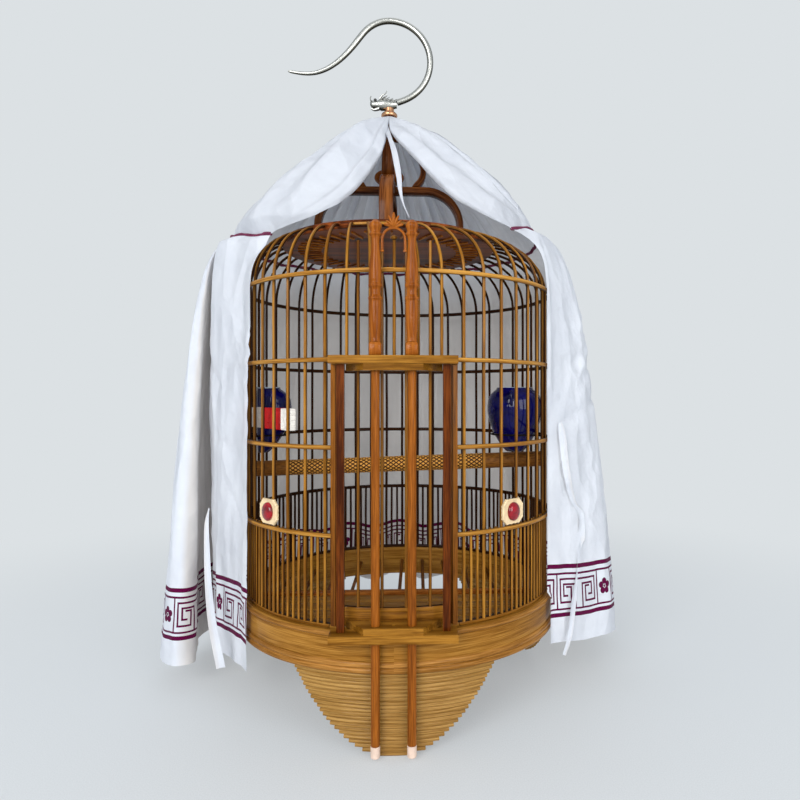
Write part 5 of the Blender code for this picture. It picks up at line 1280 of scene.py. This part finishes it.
def cotton(name, printed=False, pale=1.0):
    """Woven cotton, creased in its bump and a little see-through, with painted shade: a warm darker tint on its
    side towards the cage's axis, strongest low down.
    """
    n = material(name)
    place, solid = n.coords("UV"), n.coords()
    weave = {"Vector": place, "Scale": 260.0, "Distortion": 1.5, "Detail": 2.0}
    threads, cross = (n.add("ShaderNodeTexWave", weave, bands_direction=way)["Fac"] for way in "XY")
    # pale below 1 gives a darker copy of the same cloth, used as painted shade on the crown
    shades = [srgb(*(value * pale for value in tone)) for tone in ((231, 235, 243), (241, 245, 252))]
    white = n.ramp(n.noise(solid, 24.0, 3.0), (0.3, shades[0]), (0.7, shades[1]))
    # painted shade: the lower side facing the cage's axis is tinted a darker beige
    low = n.add("ShaderNodeMapRange", {0: n.split(solid)[2], 1: 0.43, 2: 0.50, 3: 1.0, 4: 0.15})[0]
    facing = n.ramp(n.outward(), (0.3, (0.45, 0.45, 0.45)), (0.7, (0, 0, 0)))
    white = n.blend(n.times(low, facing), white, srgb(214, 198, 176))
    if printed:
        ink = n.ramp(n.noise(place, 900.0, 2.0), (0.3, srgb(84, 0, 46)), (0.7, srgb(112, 4, 74)))
        white = n.blend(border_mask(n, place), white, ink)
    n.set(Base_Color=white, Roughness=0.9, Sheen_Weight=0.08, Specular_IOR_Level=0.12)
    bent = n.vector("ADD", n.stretch(solid, (30.0, 30.0, 13.0)), n.noise(solid, 14.0, 2.0))
    creases = n.add("ShaderNodeTexVoronoi", {"Vector": bent, "Scale": 1.0}, feature="F1")["Distance"]
    soft = n.plus(n.noise(solid, 26.0, 3.0), n.times(creases, 1.6))
    fine = n.math("MULTIPLY_ADD", n.plus(threads, cross), 0.03, n.times(n.noise(solid, 90.0, 4.0), 0.3))
    n.bump(n.math("MULTIPLY_ADD", soft, 2.0, fine), 0.9, 0.0026)
    n.mixed(0.30, n.shader.outputs[0], n.add("ShaderNodeBsdfTranslucent", {"Color": white})[0])
    return n.owner


def border_mask(n, place):
    """Key border and flowers printed above the hem: u along it and v above it, in millimetres."""
    split = n.split(place)
    u, v = n.times(split[0], 1000.0), n.times(split[1], 1000.0)
    half = BORDER_PERIOD * 500
    wave = n.math("PINGPONG", n.minus(u, BORDER_START * 1000), half)

    def bar(value, centre, half_width):
        return n.math("COMPARE", value, centre, half_width)

    def rectangle(x, x0, x1, y0, y1):
        return n.times(bar(x, (x0 + x1) / 2, (x1 - x0) / 2), bar(v, (y0 + y1) / 2, (y1 - y0) / 2))

    def disc(x, y, radius):
        a, b = n.minus(across, x), n.minus(up, y)
        return n.math("LESS_THAN", n.math("SQRT", n.plus(n.times(a, a), n.times(b, b))), radius)

    low_line, top, cell, row, line = 34.0, 70.6, 5.1, 6.5, 1.05
    marks = [bar(v, 28.2, 2.2), bar(v, low_line, 1.0), bar(v, top, 1.1), bar(v, 78.2, 2.3)]
    from_middle = n.math("ABSOLUTE", n.minus(wave, 30.6))
    for x0, y0, x1, y1 in ((5, 0.9, 0, 0.9), (0, 0.9, 0, 4.6), (0, 4.6, 3, 4.6), (3, 4.6, 3, 2.2),
                           (3, 2.2, 1.9, 2.2), (4, 5.6, 4, 1.75), (4, 1.75, 1, 1.75), (1, 1.75, 1, 3.6),
                           (1, 3.6, 2, 3.6)):
        left, right = sorted(((5 - x0) * cell, (5 - x1) * cell))
        low, high = sorted((top - row * y0, top - row * y1))
        marks.append(rectangle(from_middle, left - line, right + line, low - line, high + line))
    marks.append(rectangle(wave, 60.2, 62.2, low_line, top))
    marks.append(rectangle(wave, -1.0, 1.0, low_line, top))
    across, up = n.minus(wave, half), n.minus(v, 52.0)
    marks += [disc(5.4 * cos(radians(a)), 5.4 * sin(radians(a)), 3.5) for a in (90, 18, -54, 162, 234)]
    mask = disc(0.0, 0.0, 1.5)
    for mark in marks:
        mask = n.math("MAXIMUM", mask, mark)
    return mask


# painted shade: the crown's cotton is a darker copy because the crown faces up into more light
CROWN_COTTON = cotton("crown_cotton", pale=0.95)
PRINTED_COTTON = cotton("printed_cotton", printed=True)
PIPING = plain("maroon_piping", (104, 24, 62), 0.8, mottling=0.3, scale=400.0, bump=0.4)
BACKDROP = (*srgb(220, 225, 228), 1.0)


def studio_floor():
    """Plain floor that fades into the surround, with painted light: for camera, glossy and transmission rays it
    glows with the backdrop colour, partly even under the cage, which lightens its shadow.
    """
    mesh = bpy.data.meshes.new("floor")
    mesh.from_pydata([(-6, -6, 0), (6, -6, 0), (6, 6, 0), (-6, 6, 0)], [], [(0, 1, 2, 3)])
    n = material("floor_cloth")
    place = n.coords()
    weave = n.noise(n.stretch(place, (900.0, 900.0, 1.0)), 1.0, 2.0)
    n.set(Base_Color=n.ramp(weave, (0.3, srgb(206, 209, 211)), (0.7, srgb(224, 227, 229))), Roughness=0.95)
    distance = n.vector("LENGTH", place, output="Value")
    # painted light: the backdrop glow already has a 0.42 share near the middle, lifting the cage's shadow;
    # further out it becomes the backdrop
    fade = n.add("ShaderNodeMapRange", {0: distance, 1: 0.20, 2: 1.10, 3: 0.42, 4: 1.0},
                 interpolation_type="SMOOTHSTEP")[0]
    rays = n.add("ShaderNodeLightPath")
    shown = n.math("MAXIMUM", rays["Is Glossy Ray"], rays["Is Transmission Ray"])
    shown = n.math("MAXIMUM", rays["Is Camera Ray"], shown)
    far = n.add("ShaderNodeEmission", {"Color": BACKDROP, "Strength": 1.0})[0]
    n.mixed(n.times(fade, shown), n.shader.outputs[0], far)
    mesh.materials.append(n.owner)
    link("floor", mesh)


def lamps():
    for name, place, size, power in (("key", (-0.95, -2.3, 1.15), 1.3, 43.0),
                                     ("fill", (1.3, -2.2, 0.9), 1.5, 27.0),
                                     ("top", (0.1, 0.2, 2.3), 1.6, 4.0)):
        data = bpy.data.lights.new(name, "AREA")
        data.shape = "SQUARE"
        data.size = size
        data.energy = power
        obj = link(name, data)
        obj.location = place
        obj.rotation_euler = (Vector((0, 0, 0.35)) - Vector(place)).to_track_quat("-Z", "Y").to_euler()


def surround():
    """Pale world: one colour lights the cage and another one is seen."""
    world = bpy.data.worlds.new("surround")
    bpy.context.scene.world = world
    n = Nodes(world)
    lit = n.tree.nodes["Background"]
    n.feed(lit.inputs["Color"], (0.86, 0.93, 1.0, 1.0))
    n.feed(lit.inputs["Strength"], 0.60)
    rays = n.add("ShaderNodeLightPath")
    either = n.math("MAXIMUM", rays["Is Camera Ray"], rays["Is Transmission Ray"])
    n.mixed(either, lit.outputs[0], n.add("ShaderNodeBackground", {"Color": BACKDROP})[0], "World Output")


for build in (camera, studio_floor, lamps, surround, wall, door_wires, hoops, base_ring, feet, floor_pieces,
              dome_disc, claw, hook, hook_rod, ornament, door_frame, door_bars, arch, gate, perch, cups,
              cup_rings, clip, plates, cover):
    build()

bpy.context.scene.view_settings.view_transform = "Standard"
